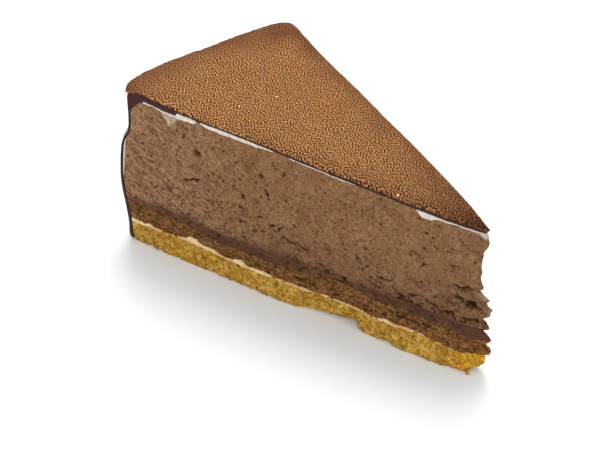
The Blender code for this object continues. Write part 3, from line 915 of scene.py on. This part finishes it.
# Bubbles cut open at the front: distance from the tip, height, half width, half height, depth, tilt
MOUSSE_BUBBLES = (
    (98.3, 42.0, 1.7, 1.15, 1.4, -0.3),
    (74.7, 42.2, 0.95, 0.9, 1.3, 0.0),
    (108.4, 40.7, 0.5, 0.4, 0.7, 0.0),
    (110.6, 40.8, 0.45, 0.35, 0.6, 0.0),
    (104.8, 41.7, 0.9, 0.45, 0.5, 0.1),
    (89.2, 50.0, 0.45, 0.4, 0.7, 0.0),
    (88.5, 46.4, 0.5, 0.4, 0.7, 0.0),
    (77.6, 45.9, 0.45, 0.4, 0.6, 0.0),
    (68.8, 47.0, 0.4, 0.35, 0.6, 0.0),
    (66.6, 45.7, 0.5, 0.4, 1.0, 0.2),
    (88.4, 35.6, 0.5, 0.55, 0.7, 0.0),
    (92.2, 36.9, 0.45, 0.4, 0.6, 0.0),
    (81.1, 32.6, 0.9, 1.2, 0.6, 0.4),
    (94.0, 29.9, 0.8, 0.5, 0.9, 0.2),
    (113.2, 23.8, 0.5, 0.4, 0.6, 0.0),
    (100.4, 22.3, 0.55, 0.35, 0.7, 0.2),
    (81.8, 23.1, 1.0, 0.55, 0.8, 0.2),
    (76.7, 21.5, 1.0, 0.45, 0.8, 0.1),
    (70.6, 21.2, 0.5, 0.4, 0.6, 0.0),
    (79.8, 17.2, 0.6, 0.4, 0.6, 0.0),
    (89.5, 17.4, 0.5, 0.4, 0.6, 0.0),
    (109.3, 18.6, 0.5, 0.4, 0.6, 0.0),
    (47.2, 43.5, 0.45, 0.4, 0.6, 0.0),
    (33.2, 40.6, 0.45, 0.45, 0.7, 0.0),
    (39.7, 41.7, 0.4, 0.35, 0.6, 0.0),
    (16.4, 42.4, 0.4, 0.4, 0.8, 0.0),
    (38.0, 30.0, 0.4, 0.5, 0.6, 0.0),
    (40.3, 25.5, 0.9, 0.5, 0.7, 0.5),
    (40.2, 21.7, 0.6, 0.4, 0.8, 0.0),
    (35.5, 20.6, 0.9, 0.4, 0.8, 0.0),
    (23.1, 24.7, 0.5, 0.4, 0.7, 0.0),
    (18.9, 25.5, 0.8, 0.4, 0.6, 0.2),
    (13.0, 26.8, 0.4, 0.3, 0.6, 0.0),
    (12.0, 17.5, 0.6, 0.6, 0.9, 0.0),
    (38.4, 16.6, 0.7, 0.4, 0.6, 0.0),
    (54.5, 29.7, 0.4, 0.5, 0.6, 0.0),
    (61.5, 34.9, 0.35, 0.35, 0.5, 0.0),
)

# Tears at the front: a route of distances from the tip and heights, half width, depth
MOUSSE_TEARS = (
    (((103.6, 30.5), (101.6, 30.8), (99.8, 31.7), (97.8, 32.1)), 0.5, 0.9),
    (((73.2, 38.0), (72.4, 36.4), (71.8, 35.0)), 0.4, 0.6),
    (((82.4, 28.5), (78.6, 28.1)), 0.45, 0.5),
    (((76.0, 27.3), (74.0, 27.3)), 0.35, 0.5),
    (((70.9, 25.7), (68.6, 26.6)), 0.5, 0.8),
    (((68.3, 25.0), (65.1, 27.7)), 0.5, 0.8),
    (((66.7, 23.1), (64.4, 22.4), (62.0, 22.2)), 0.4, 0.7),
    (((62.0, 23.0), (58.0, 21.6), (56.0, 21.0)), 0.25, 0.4),
    (((56.0, 18.3), (52.0, 18.0), (49.0, 16.8), (44.0, 16.8)), 0.4, 0.7),
    (((52.0, 16.4), (49.0, 15.6)), 0.7, 0.9),
    (((45.0, 16.2), (43.5, 15.4)), 0.6, 0.9),
    (((41.5, 26.6), (39.0, 24.8)), 0.4, 0.6),
    (((38.4, 22.2), (36.5, 24.4)), 0.4, 0.6),
    (((38.6, 36.4), (35.7, 35.6)), 0.25, 0.4),
    (((22.7, 35.2), (21.4, 34.7), (19.8, 33.6)), 0.3, 0.5),
    (((18.9, 31.4), (18.3, 32.1), (17.4, 32.0)), 0.35, 0.6),
    (((9.2, 35.2), (5.9, 34.8)), 0.25, 0.4),
    (((32.8, 21.7), (29.0, 21.9)), 0.45, 0.8),
    (((34.4, 18.2), (31.9, 18.3), (29.8, 17.4)), 0.3, 0.5),
    (((28.1, 19.8), (26.0, 18.8), (25.2, 17.9)), 0.65, 1.1),
    (((25.2, 18.0), (23.0, 18.6)), 0.3, 0.5),
    (((22.5, 19.6), (21.0, 19.6), (19.7, 20.5)), 0.5, 0.9),
    (((26.0, 16.7), (23.0, 17.1), (19.3, 16.5)), 0.3, 0.5),
    (((18.5, 20.7), (15.9, 19.4), (12.6, 18.4), (10.9, 18.1), (8.4, 18.6)), 0.5, 1.0),
    (((8.4, 18.5), (8.0, 16.8), (5.4, 16.8), (4.2, 17.8), (1.5, 18.2)), 0.5, 1.1),
    (((5.6, 14.5), (3.5, 14.5), (1.5, 15.2)), 0.4, 0.9),
)

# Holes broken out of the mousse beside the tip: two distances from it, two heights, depth
MOUSSE_HOLES = (
    (6.8, 1.0, 27.3, 29.2, 2.2), (7.6, 5.4, 24.2, 25.6, 1.2), (6.3, 2.8, 22.3, 24.4, 2.2),
)

# Where the knife pulled some of the white icing down over the mousse
DRIP_PLACE = 108.5
DRIP_TOP = 52.4
DRIP_LENGTH = 4.7
DRIP_HALF_WIDTH = 3.4


def build_mousse():
    wall = CutWall(ganache_roof, mousse_roof, rows=122)
    wall.relief += 0.30 * wall.noise(9.0, 81) + 0.14 * wall.noise(2.6, 82) + 0.10 * wall.noise(0.9, 83)
    wall.relief += 0.06 * wall.noise(0.5, 84)
    along = wall.arc[:, None] + 0 * wall.height
    slanted = np.stack((wall.height + 0.45 * along, 0.12 * along, 0 * along), axis=-1)
    by_rim = ease((wall.run - 85) / 30)[:, None]
    wall.relief += 0.14 * by_rim * lumps(slanted, 1.3, 85)
    ragged = 0.3 * wall.noise(2.4, 86) + 0.4 * wall.noise(1.1, 87) + 0.45 * wall.noise(0.6, 89)
    wall.relief += wall.near_tip * ragged
    cracked = ease(1.1 - wall.above_floor / 6) * ease(1.4 - wall.run / 80)[:, None]
    wall.cracks(2.4, 0.09, 0.7, 92, share=cracked)
    wall.pores(6000, 0.12, 0.32, 1.0, 0.8, seed=11, stretch=2.0)
    wall.pores(500, 0.22, 0.5, 1.1, 0.95, seed=12, stretch=2.0)
    tip_half = wall.place_of("front", 78)
    wall.pores(700, 0.16, 0.34, 1.1, 0.9, 13, stretch=3.5, lean=0.3, tilt=-0.75, end=tip_half)
    wall.pores(800, 0.18, 0.46, 1.1, 0.9, 14, stretch=3.0, lean=0.7, tilt=-0.2, share=0.34)
    for middle, height, wide, tall, depth, tilt in MOUSSE_BUBBLES:
        wall.hollow(wall.place_of("front", middle), height, wide, tall, depth, tilt)
    for route, wide, depth in MOUSSE_TEARS:
        wall.tear(route, wide, depth)
    for first, last, low, high, depth in MOUSSE_HOLES:
        wall.gouge(first, last, low, high, depth, 93)
    wall.stain += 0.8 * ease(1 - wall.above_floor / (2.6 + 1.4 * wall.noise(4.0, 88)))
    wall.stain += 0.14 * ease(1.5 - wall.run / 16)[:, None] * (1 - wall.stain)
    low_down = ease(1.3 - wall.above_floor / 12) * ease((88 - wall.run) / 25)[:, None]
    wall.stain += 0.25 * low_down * (1 - wall.stain)
    fallen = (DRIP_TOP - wall.height) / DRIP_LENGTH
    beside = np.abs(wall.arc[:, None] - wall.place_of("front", DRIP_PLACE)) / DRIP_HALF_WIDTH
    inside = (1.0 - fallen - beside) * 3 + 0.6 * wall.noise(0.9, 90)
    wall.smear_and_glow += ease(0.5 + inside) * (fallen > -0.6)
    wall.relief += 0.25 * wall.smear_and_glow
    at_end = ease(1 - wall.run / 2)[:, None]
    # A painted highlight on the torn ledge near the tip.
    wall.smear_and_glow += 0.7 * at_end * ease(1.2 - np.abs(wall.height - 26.6) / 0.6)
    wall.smear_and_glow += 0.3 * at_end * ease(1.5 - np.abs(wall.height - 22.4) / 1.6)
    return wall.solid("mousse_bed", mousse_material())


mousse = build_mousse()
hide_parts("mousse")


# The white icing
# A soft white coat between mousse and glaze, over the top and down the rim. It was spread by hand,
# so at the cut it swells, thins to nothing and comes back, and the knife pulled some of it down.

GLAZE_WALL_DEPTH = (
    (0, 1.9), (4, 1.5), (8, 1.3), (15, 1.1), (20, 1.05), (25, 1.0), (31, 1.05), (36, 1.0),
    (38, 1.2), (41, 1.35), (45, 1.25), (49, 1.5), (57, 2.0),
)


def stitch(low, high):
    """Triangles between two rows of point numbers that run side by side."""
    made = []
    i = j = 0
    while i < len(low) - 1 or j < len(high) - 1:
        behind = (i + 1) * (len(high) - 1) <= (j + 1) * (len(low) - 1)
        if j == len(high) - 1 or (behind and i < len(low) - 1):
            made.append((low[i], low[i + 1], high[j]))
            i += 1
        else:
            made.append((low[i], high[j + 1], high[j]))
            j += 1
    return made


def coat(name, outer, inner, plies, bulge, material):
    """A closed coat between outer and inner rows of points, cut through at both ends of each row.

    The cut edges have a few plies of points, and stand out by bulge(points) from the plane of the cut.
    Where the coat runs out they sink behind the layers beside them, and their "thin" attribute is 1.
    """
    points, rows = [], []
    for row in [*outer, *inner]:
        rows.append(list(range(len(points), len(points) + len(row))))
        points.extend(row)
    tops, unders = rows[: len(outer)], rows[len(outer) :]
    faces = []
    for sheet in (tops, unders):
        for low, high in itertools.pairwise(sheet):
            faces.extend(stitch(low, high))
    edges = []
    thinness = []
    for end in (0, -1):
        columns = []
        for top, under in zip(tops, unders):
            start, stop = points[top[end]], points[under[end]]
            thinness.append(1 - float(ease((np.linalg.norm(stop - start) - 0.1) / 0.25)))
            share = np.linspace(0, 1, plies + 1)[1:-1, None]
            between = list(start + share * (stop - start))
            columns.append([top[end], *range(len(points), len(points) + len(between)), under[end]])
            points.extend(between)
        for low, high in itertools.pairwise(columns):
            faces.extend(stitch(low, high))
        edges.append(columns)
    for last in (0, -1):
        faces.append([*tops[last], *edges[1][last][1:-1], *unders[last][::-1], *edges[0][last][-2:0:-1]])
    places = np.array(points)
    thin, cut = np.zeros(len(places)), np.zeros(len(places))
    for side, columns, run_out in zip((-1, 1), edges, np.array(thinness).reshape(2, -1)):
        columns = np.array(columns)
        run_out = run_out[:, None] + 0.0 * columns
        thin[columns] = run_out
        cut[columns] = 1.0
        stand = bulge(places[columns]) * (1 - run_out) - 0.5 * run_out
        stand[:, (0, -1)] = np.minimum(stand[:, (0, -1)], 0)
        lean = np.array((math.sin(HALF_ANGLE), side * math.cos(HALF_ANGLE), 0.0))
        places[columns] += stand[..., None] * lean
    data = bpy.data.meshes.new(name)
    data.from_pydata((places * MM).tolist(), [], faces)
    data.attributes.new("thin", "FLOAT", "POINT").data.foreach_set("value", thin)
    data.attributes.new("cut", "FLOAT", "POINT").data.foreach_set("value", cut)
    fix_normals(data)
    data.shade_smooth()
    data.set_sharp_from_angle(angle=math.radians(50))
    data.materials.append(material)
    return data


def fix_normals(data):
    """Turns every face of a closed mesh outwards."""
    mesh = bmesh.new()
    mesh.from_mesh(data)
    bmesh.ops.recalc_face_normals(mesh, faces=mesh.faces)
    mesh.to_mesh(data)
    mesh.free()


def stations(pitch):
    """Places along the profile: over the top, round the corner and down the wall."""
    return np.linspace(0, PROFILE_LENGTH, round(PROFILE_LENGTH / pitch))


def skin_rows(pitch, turns, sink, inset, corner):
    """Rows of points across a skin, one for each station, with as many points as turns(station)."""
    rows = []
    for station in stations(pitch):
        turn = turns(station)
        run, height = skin(station, turn, sink, inset, corner)
        rows.append(on_slice(run, turn, height))
    return rows


def few_turns(station):
    return np.linspace(-1, 1, 7)


def glaze_inset(height):
    return read_line(GLAZE_WALL_DEPTH, height)


def icing_material():
    """White icing with a soft sheen, browned a little by the mousse and cocoa against it."""
    material, tree, shader, where = new_material("white_icing_cut")
    brown = place_group(tree, MOTTLE, Vector=where, Size=0.0016, Contrast=2.4)
    thin = read_mark(tree, "thin")
    colour = add_mix(tree, add_math(tree, "MULTIPLY", brown, 0.6), paint(226, 218, 204), paint(160, 138, 114))
    by_tip = add_node(tree, "ShaderNodeSeparateXYZ", {"Vector": where}).outputs["X"]
    colour = add_mix(tree, add_span(tree, by_tip, 0.044, 0.060, 0.0, 0.6), colour, paint(158, 140, 128))
    colour = add_mix(tree, add_span(tree, thin, 0.0, 0.9), colour, paint(118, 88, 66))
    tree.links.new(colour, shader.inputs["Base Color"])
    bump = add_node(tree, "ShaderNodeBump", {"Height": brown, "Strength": 0.3, "Distance": 0.0002})
    tree.links.new(bump.outputs[0], shader.inputs["Normal"])
    shader.inputs["Roughness"].default_value = 0.45
    shader.inputs["Subsurface Weight"].default_value = 0.25
    shader.inputs["Subsurface Radius"].default_value = (0.002, 0.0016, 0.0012)
    shader.inputs["Subsurface Scale"].default_value = 1.0
    return material


def icing_bulge(points):
    return 0.10 + 0.20 * lumps(points, 1.6, 91)


def lapped_sink(run, turn):
    """The icing laps a little into the glaze above it."""
    return icing_sink(run, turn) - 0.05


def build_icing():
    outer = skin_rows(0.45, few_turns, lapped_sink, glaze_inset, INNER_CORNER)
    inner = skin_rows(0.45, few_turns, mousse_sink, layer_inset, INNER_CORNER)
    data = coat("white_icing_coat", outer, inner, 4, icing_bulge, icing_material())
    return show("white_icing_coat", data)


icing = build_icing()
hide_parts("white_icing")


# The dark glaze
# Chocolate glaze poured over the iced cake. It set in a thick bead in the corner at the rim, ran
# down the wall in slow folds, and lies thin on the top. The wall is glossy; the cut is dull.

WALL_PITCH = 0.6
LIP_SHELTER = (
    (0, 0.0), (34, 0.0), (38, 0.4), (40, 0.7), (42, 0.6), (45, 0.5), (49, 0.7), (53, 0.7),
    (57, 0.3),
)


def wall_turns(station):
    """Few points across where the cocoa hides the glaze, many on the corner and the wall."""
    if station < SHOULDER - 1:
        return np.linspace(-1, 1, 7)
    return np.linspace(-1, 1, round(2 * RADIUS * math.sin(HALF_ANGLE) / WALL_PITCH))


def wall_inset(height):
    return read_line(LIP_SHELTER, height)


def glaze_rows():
    """Outer rows of the glaze, with its folds and runs on the wall."""
    rows = []
    for station in stations(0.4):
        turn = wall_turns(station)
        run, height = skin(station, turn, glaze_sink, wall_inset, OUTER_CORNER)
        on_wall = ease((station - SHOULDER - 2) / CORNER_LENGTH)
        flat = np.stack((34 * turn, 0.3 * height, 0 * turn), axis=-1)
        runs = 0.28 * lumps(flat, 6.0, 101) + 0.10 * lumps(flat, 2.4, 102)
        folds = 0.22 * lumps(np.stack((9 * turn, height, 0 * turn), axis=-1), 4.5, 103)
        edge = 1 - turn**12
        rows.append(on_slice(run + (runs + folds) * on_wall * edge, turn, height))
    return rows


def glaze_material():
    """Dark chocolate: a soft gloss on the wall, and greyer and duller where it was cut."""
    material, tree, shader, where = new_material("dark_glaze_poured")
    clouds = place_group(tree, MOTTLE, Vector=where, Size=0.006, Contrast=1.8)
    grain = place_group(tree, MOTTLE, Vector=where, Size=0.0008, Contrast=2.0)
    cut = read_mark(tree, "cut")
    poured = add_mix(tree, clouds, paint(50, 32, 30), paint(66, 44, 40))
    colour = add_mix(tree, cut, poured, paint(64, 42, 40))
    tree.links.new(colour, shader.inputs["Base Color"])
    gloss = add_span(tree, clouds, 0.0, 1.0, 0.30, 0.48)
    rough = add_math(tree, "ADD", gloss, add_math(tree, "MULTIPLY", cut, 0.4))
    tree.links.new(rough, shader.inputs["Roughness"])
    tree.links.new(add_span(tree, cut, 0.0, 1.0, 0.4, 0.08), shader.inputs["Specular IOR Level"])
    bump = add_node(tree, "ShaderNodeBump", {"Height": grain, "Strength": 0.25, "Distance": 0.0001})
    tree.links.new(bump.outputs[0], shader.inputs["Normal"])
    return material


def glaze_bulge(points):
    return 0.08 + 0.12 * lumps(points, 1.4, 104)


def build_glaze():
    inner = skin_rows(0.4, few_turns, icing_sink, glaze_inset, INNER_CORNER)
    data = coat("dark_glaze_coat", glaze_rows(), inner, 4, glaze_bulge, glaze_material())
    return show("dark_glaze_coat", data)


glaze = build_glaze()
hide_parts("dark_glaze")


# The cocoa dusting
# Cocoa sieved thickly over the glaze. It clings in short winding grains, wears thin towards the rim
# and the far edge, darkens there and at the tip with painted shade, and hangs a little over the rim.

DUST_PITCH = 0.23
DUST_OVERHANG = 0.5
GRAIN = 0.00083
GRAIN_TURN = 0.76
GRAIN_STRETCH = 1.35
GRAIN_LEAN = 2.2
RELIEF = 0.00022
DUST_END = SHOULDER + 0.66 * CORNER_LENGTH


def dust_turns(station):
    wide = 2 * (0.5 * TIP_WIDTH + station * math.sin(HALF_ANGLE) + 1.2)
    return np.linspace(-1, 1, round(wide / DUST_PITCH))


def dust_inset(height):
    return 0 * height - DUST_OVERHANG


def dust_sink(run, turn):
    """The knife rounds the powder off along both cuts."""
    to_cut = (1 - np.abs(turn)) * np.maximum(run * math.sin(HALF_ANGLE), TIP_WIDTH)
    uneven = 0.12 * lumps(unrolled(run, turn, 60), 3.0, 111)
    return 0.35 * (1 - ease(to_cut / 0.9)) + uneven


def wear_and_shade_of(run, turn):
    """How far the cocoa is rubbed thin and in painted shade: fully along the rim and less along the back cut.
    """
    ragged = 3 * lumps(unrolled(run, turn, 30), 7.0, 112)
    rim = ease(1 - (RADIUS - run + ragged) / (13 + 7 * np.abs(turn) + 14 * np.clip(turn, 0, 1)))
    cut = ease(1 - ((1 - turn) * run * math.sin(HALF_ANGLE) + ragged) / 11)
    return np.clip(rim + 0.8 * cut, 0, 1)


def dark_of(run, turn):
    """How dark the painted shade on the cocoa is: at the tip, and along the front cut."""
    front = ease(1 - (1 + turn) * run * math.sin(HALF_ANGLE) / 6) * ease((100 - run) / 30)
    return np.clip(0.98 * np.exp(-run / 17.5) + 0.25 * front, 0, 1)


def add_ridges(tree, place, size):
    """Adds nodes that give winding ridges, from 0 between them to 1 along their crests."""
    turned = {"Vector": place, "Angle": GRAIN_TURN}
    turned = add_node(tree, "ShaderNodeVectorRotate", turned, rotation_type="Z_AXIS")
    drawn_out = {0: turned.outputs[0], 1: (1 / GRAIN_STRETCH, 1.0, 0.25)}
    drawn_out = add_node(tree, "ShaderNodeVectorMath", drawn_out, operation="MULTIPLY").outputs[0]
    weave = {"Vector": drawn_out, "Scale": 0.6 / size, "Frequency": 1.67, "Anisotropy": 0.25, 4: GRAIN_LEAN}
    weave = add_node(tree, "ShaderNodeTexGabor", weave, gabor_type="2D").outputs["Value"]
    return add_span(tree, weave, 0.38, 0.62)


def grain_tree():
    """Raises winding ridges of powder on a surface, as high as Relief where 'dusted' is 1."""
    tree = bpy.data.node_groups.new("raise_grains", "GeometryNodeTree")
    for label, kind in (("Geometry", "Geometry"), ("Relief", "Float"), ("Finish", "Material")):
        tree.interface.new_socket(label, in_out="INPUT", socket_type=f"NodeSocket{kind}")
    tree.interface.new_socket("Geometry", in_out="OUTPUT", socket_type="NodeSocketGeometry")
    given, result = tree.nodes.new("NodeGroupInput"), tree.nodes.new("NodeGroupOutput")
    place = add_node(tree, "GeometryNodeInputPosition").outputs["Position"]
    dusted = add_node(tree, "GeometryNodeInputNamedAttribute", {"Name": "dusted"}, data_type="FLOAT")
    lift = add_math(tree, "MULTIPLY", add_ridges(tree, place, GRAIN), given.outputs["Relief"])
    lift = add_math(tree, "MULTIPLY", lift, dusted.outputs["Attribute"])
    normal = add_node(tree, "GeometryNodeInputNormal").outputs["Normal"]
    offset = add_node(tree, "ShaderNodeVectorMath", {0: normal, "Scale": lift}, operation="SCALE")
    raised = {"Geometry": given.outputs["Geometry"], "Offset": offset.outputs[0]}
    moved = add_node(tree, "GeometryNodeSetPosition", raised)
    real = add_node(tree, "GeometryNodeRealizeInstances", {"Geometry": moved.outputs[0]})
    inputs = {"Geometry": real.outputs[0], "Material": given.outputs["Finish"]}
    tree.links.new(add_node(tree, "GeometryNodeSetMaterial", inputs).outputs[0], result.inputs["Geometry"])
    return tree


def cocoa_material():
    """Dry cocoa: tan crests with painted light, painted shade between them, darker near its edges and tip."""
    material, tree, shader, where = new_material("cocoa_powder")
    ridges = add_ridges(tree, where, GRAIN)
    wear_and_shade = read_mark(tree, "wear_and_shade")
    tip_shade = read_mark(tree, "tip_shade")
    clouds = place_group(tree, MOTTLE, Vector=where, Size=0.009, Contrast=1.8)
    fine = place_group(tree, MOTTLE, Vector=where, Size=0.0005, Contrast=2.2)
    # Painted light on the tan crests, painted shade in the dark lows and the fine specks.
    lit_crest_colour = add_mix(tree, clouds, paint(223, 162, 107), paint(238, 177, 119))
    # Rubbed thin at the rim, with painted shade there and along the back cut.
    lit_crest_colour = add_mix(tree, wear_and_shade, lit_crest_colour, paint(141, 96, 62))
    # Painted shade at the tip and along the front cut.
    lit_crest_colour = add_mix(tree, tip_shade, lit_crest_colour, paint(112, 70, 42))
    shaded_low_colour = add_mix(tree, wear_and_shade, paint(82, 42, 12), paint(82, 48, 28))
    shaded_low_colour = add_mix(tree, tip_shade, shaded_low_colour, paint(36, 18, 7))
    colour = add_mix(tree, ridges, shaded_low_colour, lit_crest_colour)
    colour = add_mix(tree, add_math(tree, "MULTIPLY", fine, 0.45), colour, shaded_low_colour)
    tree.links.new(colour, shader.inputs["Base Color"])
    strength = add_span(tree, wear_and_shade, 0.0, 1.0, 1.0, 0.4)
    bump = add_node(tree, "ShaderNodeBump", {"Height": ridges, "Distance": 0.0004, "Strength": strength})
    tree.links.new(bump.outputs[0], shader.inputs["Normal"])
    shader.inputs["Roughness"].default_value = 1.0
    shader.inputs["Specular IOR Level"].default_value = 0.05
    return material


def cocoa_bulge(points):
    return 0.05 + 0.1 * lumps(points, 0.6, 113)


def build_cocoa():
    outer, inner, worn_and_shaded, tip_shade = [], [], [], []
    for station in np.arange(0, DUST_END, DUST_PITCH):
        turn = dust_turns(station)
        run, height = skin(station, turn, dust_sink, dust_inset, OUTER_CORNER)
        fringe = 0.4 * lumps(np.stack((35 * turn, 0 * turn, 0 * turn), axis=-1), 1.4, 114)
        outer.append(on_slice(run, turn, height + fringe * ease((station - SHOULDER - 3) / 2)))
        worn_and_shaded.append(wear_and_shade_of(run, turn))
        tip_shade.append(dark_of(run, turn))
        run, height = skin(station, np.array((-1.0, 1.0)), glaze_sink, wall_inset, OUTER_CORNER)
        inner.append(on_slice(run, np.array((-1.0, 1.0)), height))
    finish = cocoa_material()
    sheet = coat("cocoa_sheet", outer, inner, 2, cocoa_bulge, finish)
    worn_and_shaded, tip_shade = np.concatenate(worn_and_shaded), np.concatenate(tip_shade)
    marks = {"wear_and_shade": worn_and_shaded, "tip_shade": tip_shade, "dusted": 1 - 0.6 * worn_and_shaded, "loose": 1 - 0.7 * worn_and_shaded}
    for label, values in marks.items():
        whole = np.zeros(len(sheet.vertices))
        whole[: len(values)] = values
        sheet.attributes.new(label, "FLOAT", "POINT").data.foreach_set("value", whole)
    data = grow(sheet, grain_tree(), "cocoa_top", Relief=RELIEF, Finish=finish)
    data.shade_smooth()
    return show("cocoa_top", data)


cocoa = build_cocoa()
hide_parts("cocoa_dust")


# Cocoa grains and pale flecks
# The coarser grains of the cocoa lie loose on the powder, with three stray pale flecks of sugar.

FLECKS = ((91.0, -0.56, 0.32), (86.7, -0.09, 0.30), (28.6, -0.925, 0.34))


def grain_material():
    material, tree, shader, where = new_material("loose_cocoa_grains")
    shades = place_group(tree, MOTTLE, Vector=where, Size=0.0009, Contrast=2.4)
    colour = add_mix(tree, shades, paint(120, 72, 34), paint(214, 158, 106))
    tree.links.new(colour, shader.inputs["Base Color"])
    shader.inputs["Roughness"].default_value = 1.0
    shader.inputs["Specular IOR Level"].default_value = 0.05
    return material


def fleck_material():
    material, tree, shader, where = new_material("pale_sugar")
    shades = place_group(tree, MOTTLE, Vector=where, Size=0.0003, Contrast=2.0)
    colour = add_mix(tree, shades, paint(250, 226, 200), paint(232, 196, 160))
    tree.links.new(colour, shader.inputs["Base Color"])
    shader.inputs["Roughness"].default_value = 0.6
    return material


def build_flecks():
    mesh = bmesh.new()
    for run, turn, radius in FLECKS:
        made = bmesh.ops.create_icosphere(mesh, subdivisions=2, radius=radius * MM)
        place = on_slice(np.array(run), np.array(turn), crest(np.array(run), np.array(turn)) + 0.35)
        for corner in made["verts"]:
            corner.co *= 1 + 0.3 * float(lumps(np.array(corner.co / MM) + run, 0.3, 115))
            corner.co += Vector(place * MM)
    data = bpy.data.meshes.new("pale_flecks")
    mesh.to_mesh(data)
    mesh.free()
    data.materials.append(fleck_material())
    return show("pale_flecks", data)


scattered = grow(
    cocoa.data, SCATTER, "cocoa_grains",
    Density=1.5e6, Smallest=0.00008, Largest=0.00017, Seed=6, Finish=grain_material(),
)
cocoa_grains = show("cocoa_grains", scattered)

flecks = build_flecks()


# Table, light and camera
# A white table under one broad lamp high behind the slice, with the light of a white room.

LENS = 108.0
LOOK_ACROSS = math.radians(46.406)
LOOK_DOWN = math.radians(34.715)
CAMERA_ROLL = math.radians(1.723)
DISTANCE = 563.78
AIM = np.array((-75.0, 0.0, 26.0)) + AXIS


def build_table():
    bpy.ops.mesh.primitive_plane_add(size=6)
    table = bpy.context.object
    table.name = "table"
    material, _, shader, _ = new_material("white_table")
    shader.inputs["Base Color"].default_value = (0.888, 0.916, 0.937, 1)
    shader.inputs["Roughness"].default_value = 0.9
    table.data.materials.append(material)


def build_camera():
    back = Vector((
        math.sin(LOOK_ACROSS) * math.cos(LOOK_DOWN),
        -math.cos(LOOK_ACROSS) * math.cos(LOOK_DOWN),
        math.sin(LOOK_DOWN),
    ))
    side = Vector((math.cos(LOOK_ACROSS), math.sin(LOOK_ACROSS), 0))
    above = back.cross(side)
    right = side * math.cos(CAMERA_ROLL) + above * math.sin(CAMERA_ROLL)
    up = above * math.cos(CAMERA_ROLL) - side * math.sin(CAMERA_ROLL)
    lens = bpy.data.cameras.new("camera")
    lens.lens = LENS
    camera = bpy.data.objects.new("camera", lens)
    bpy.context.scene.collection.objects.link(camera)
    place = Vector(AIM * MM) + back * DISTANCE * MM - right * 1.86 * MM - up * 10.73 * MM
    turned = Matrix((right, up, back)).transposed().to_4x4()
    camera.matrix_world = Matrix.Translation(place) @ turned
    bpy.context.scene.camera = camera


def build_lamp(name, wide, tall, power, place, target):
    lamp = bpy.data.lights.new(name, "AREA")
    lamp.shape = "RECTANGLE"
    lamp.size = wide
    lamp.size_y = tall
    lamp.energy = power
    made = bpy.data.objects.new(name, lamp)
    made.location = place
    made.rotation_euler = (Vector(target) - Vector(place)).to_track_quat("-Z", "Y").to_euler()
    bpy.context.scene.collection.objects.link(made)


def light_room():
    world = bpy.data.worlds.new("white_room")
    world.use_nodes = True
    world.node_tree.nodes["Background"].inputs["Color"].default_value = (1.0, 1.0, 1.0, 1)
    world.node_tree.nodes["Background"].inputs["Strength"].default_value = 0.72
    bpy.context.scene.world = world
    build_lamp("lamp_behind", 0.7, 1.1, 16.0, (-0.56, 0.53, 1.30), (0, 0, 0.02))
    build_lamp("fill_before", 0.8, 0.5, 5.5, (0.86, -0.82, 0.75), (0, 0, 0.02))


build_table()
build_camera()
light_room()
bpy.context.scene.view_settings.view_transform = "Standard"
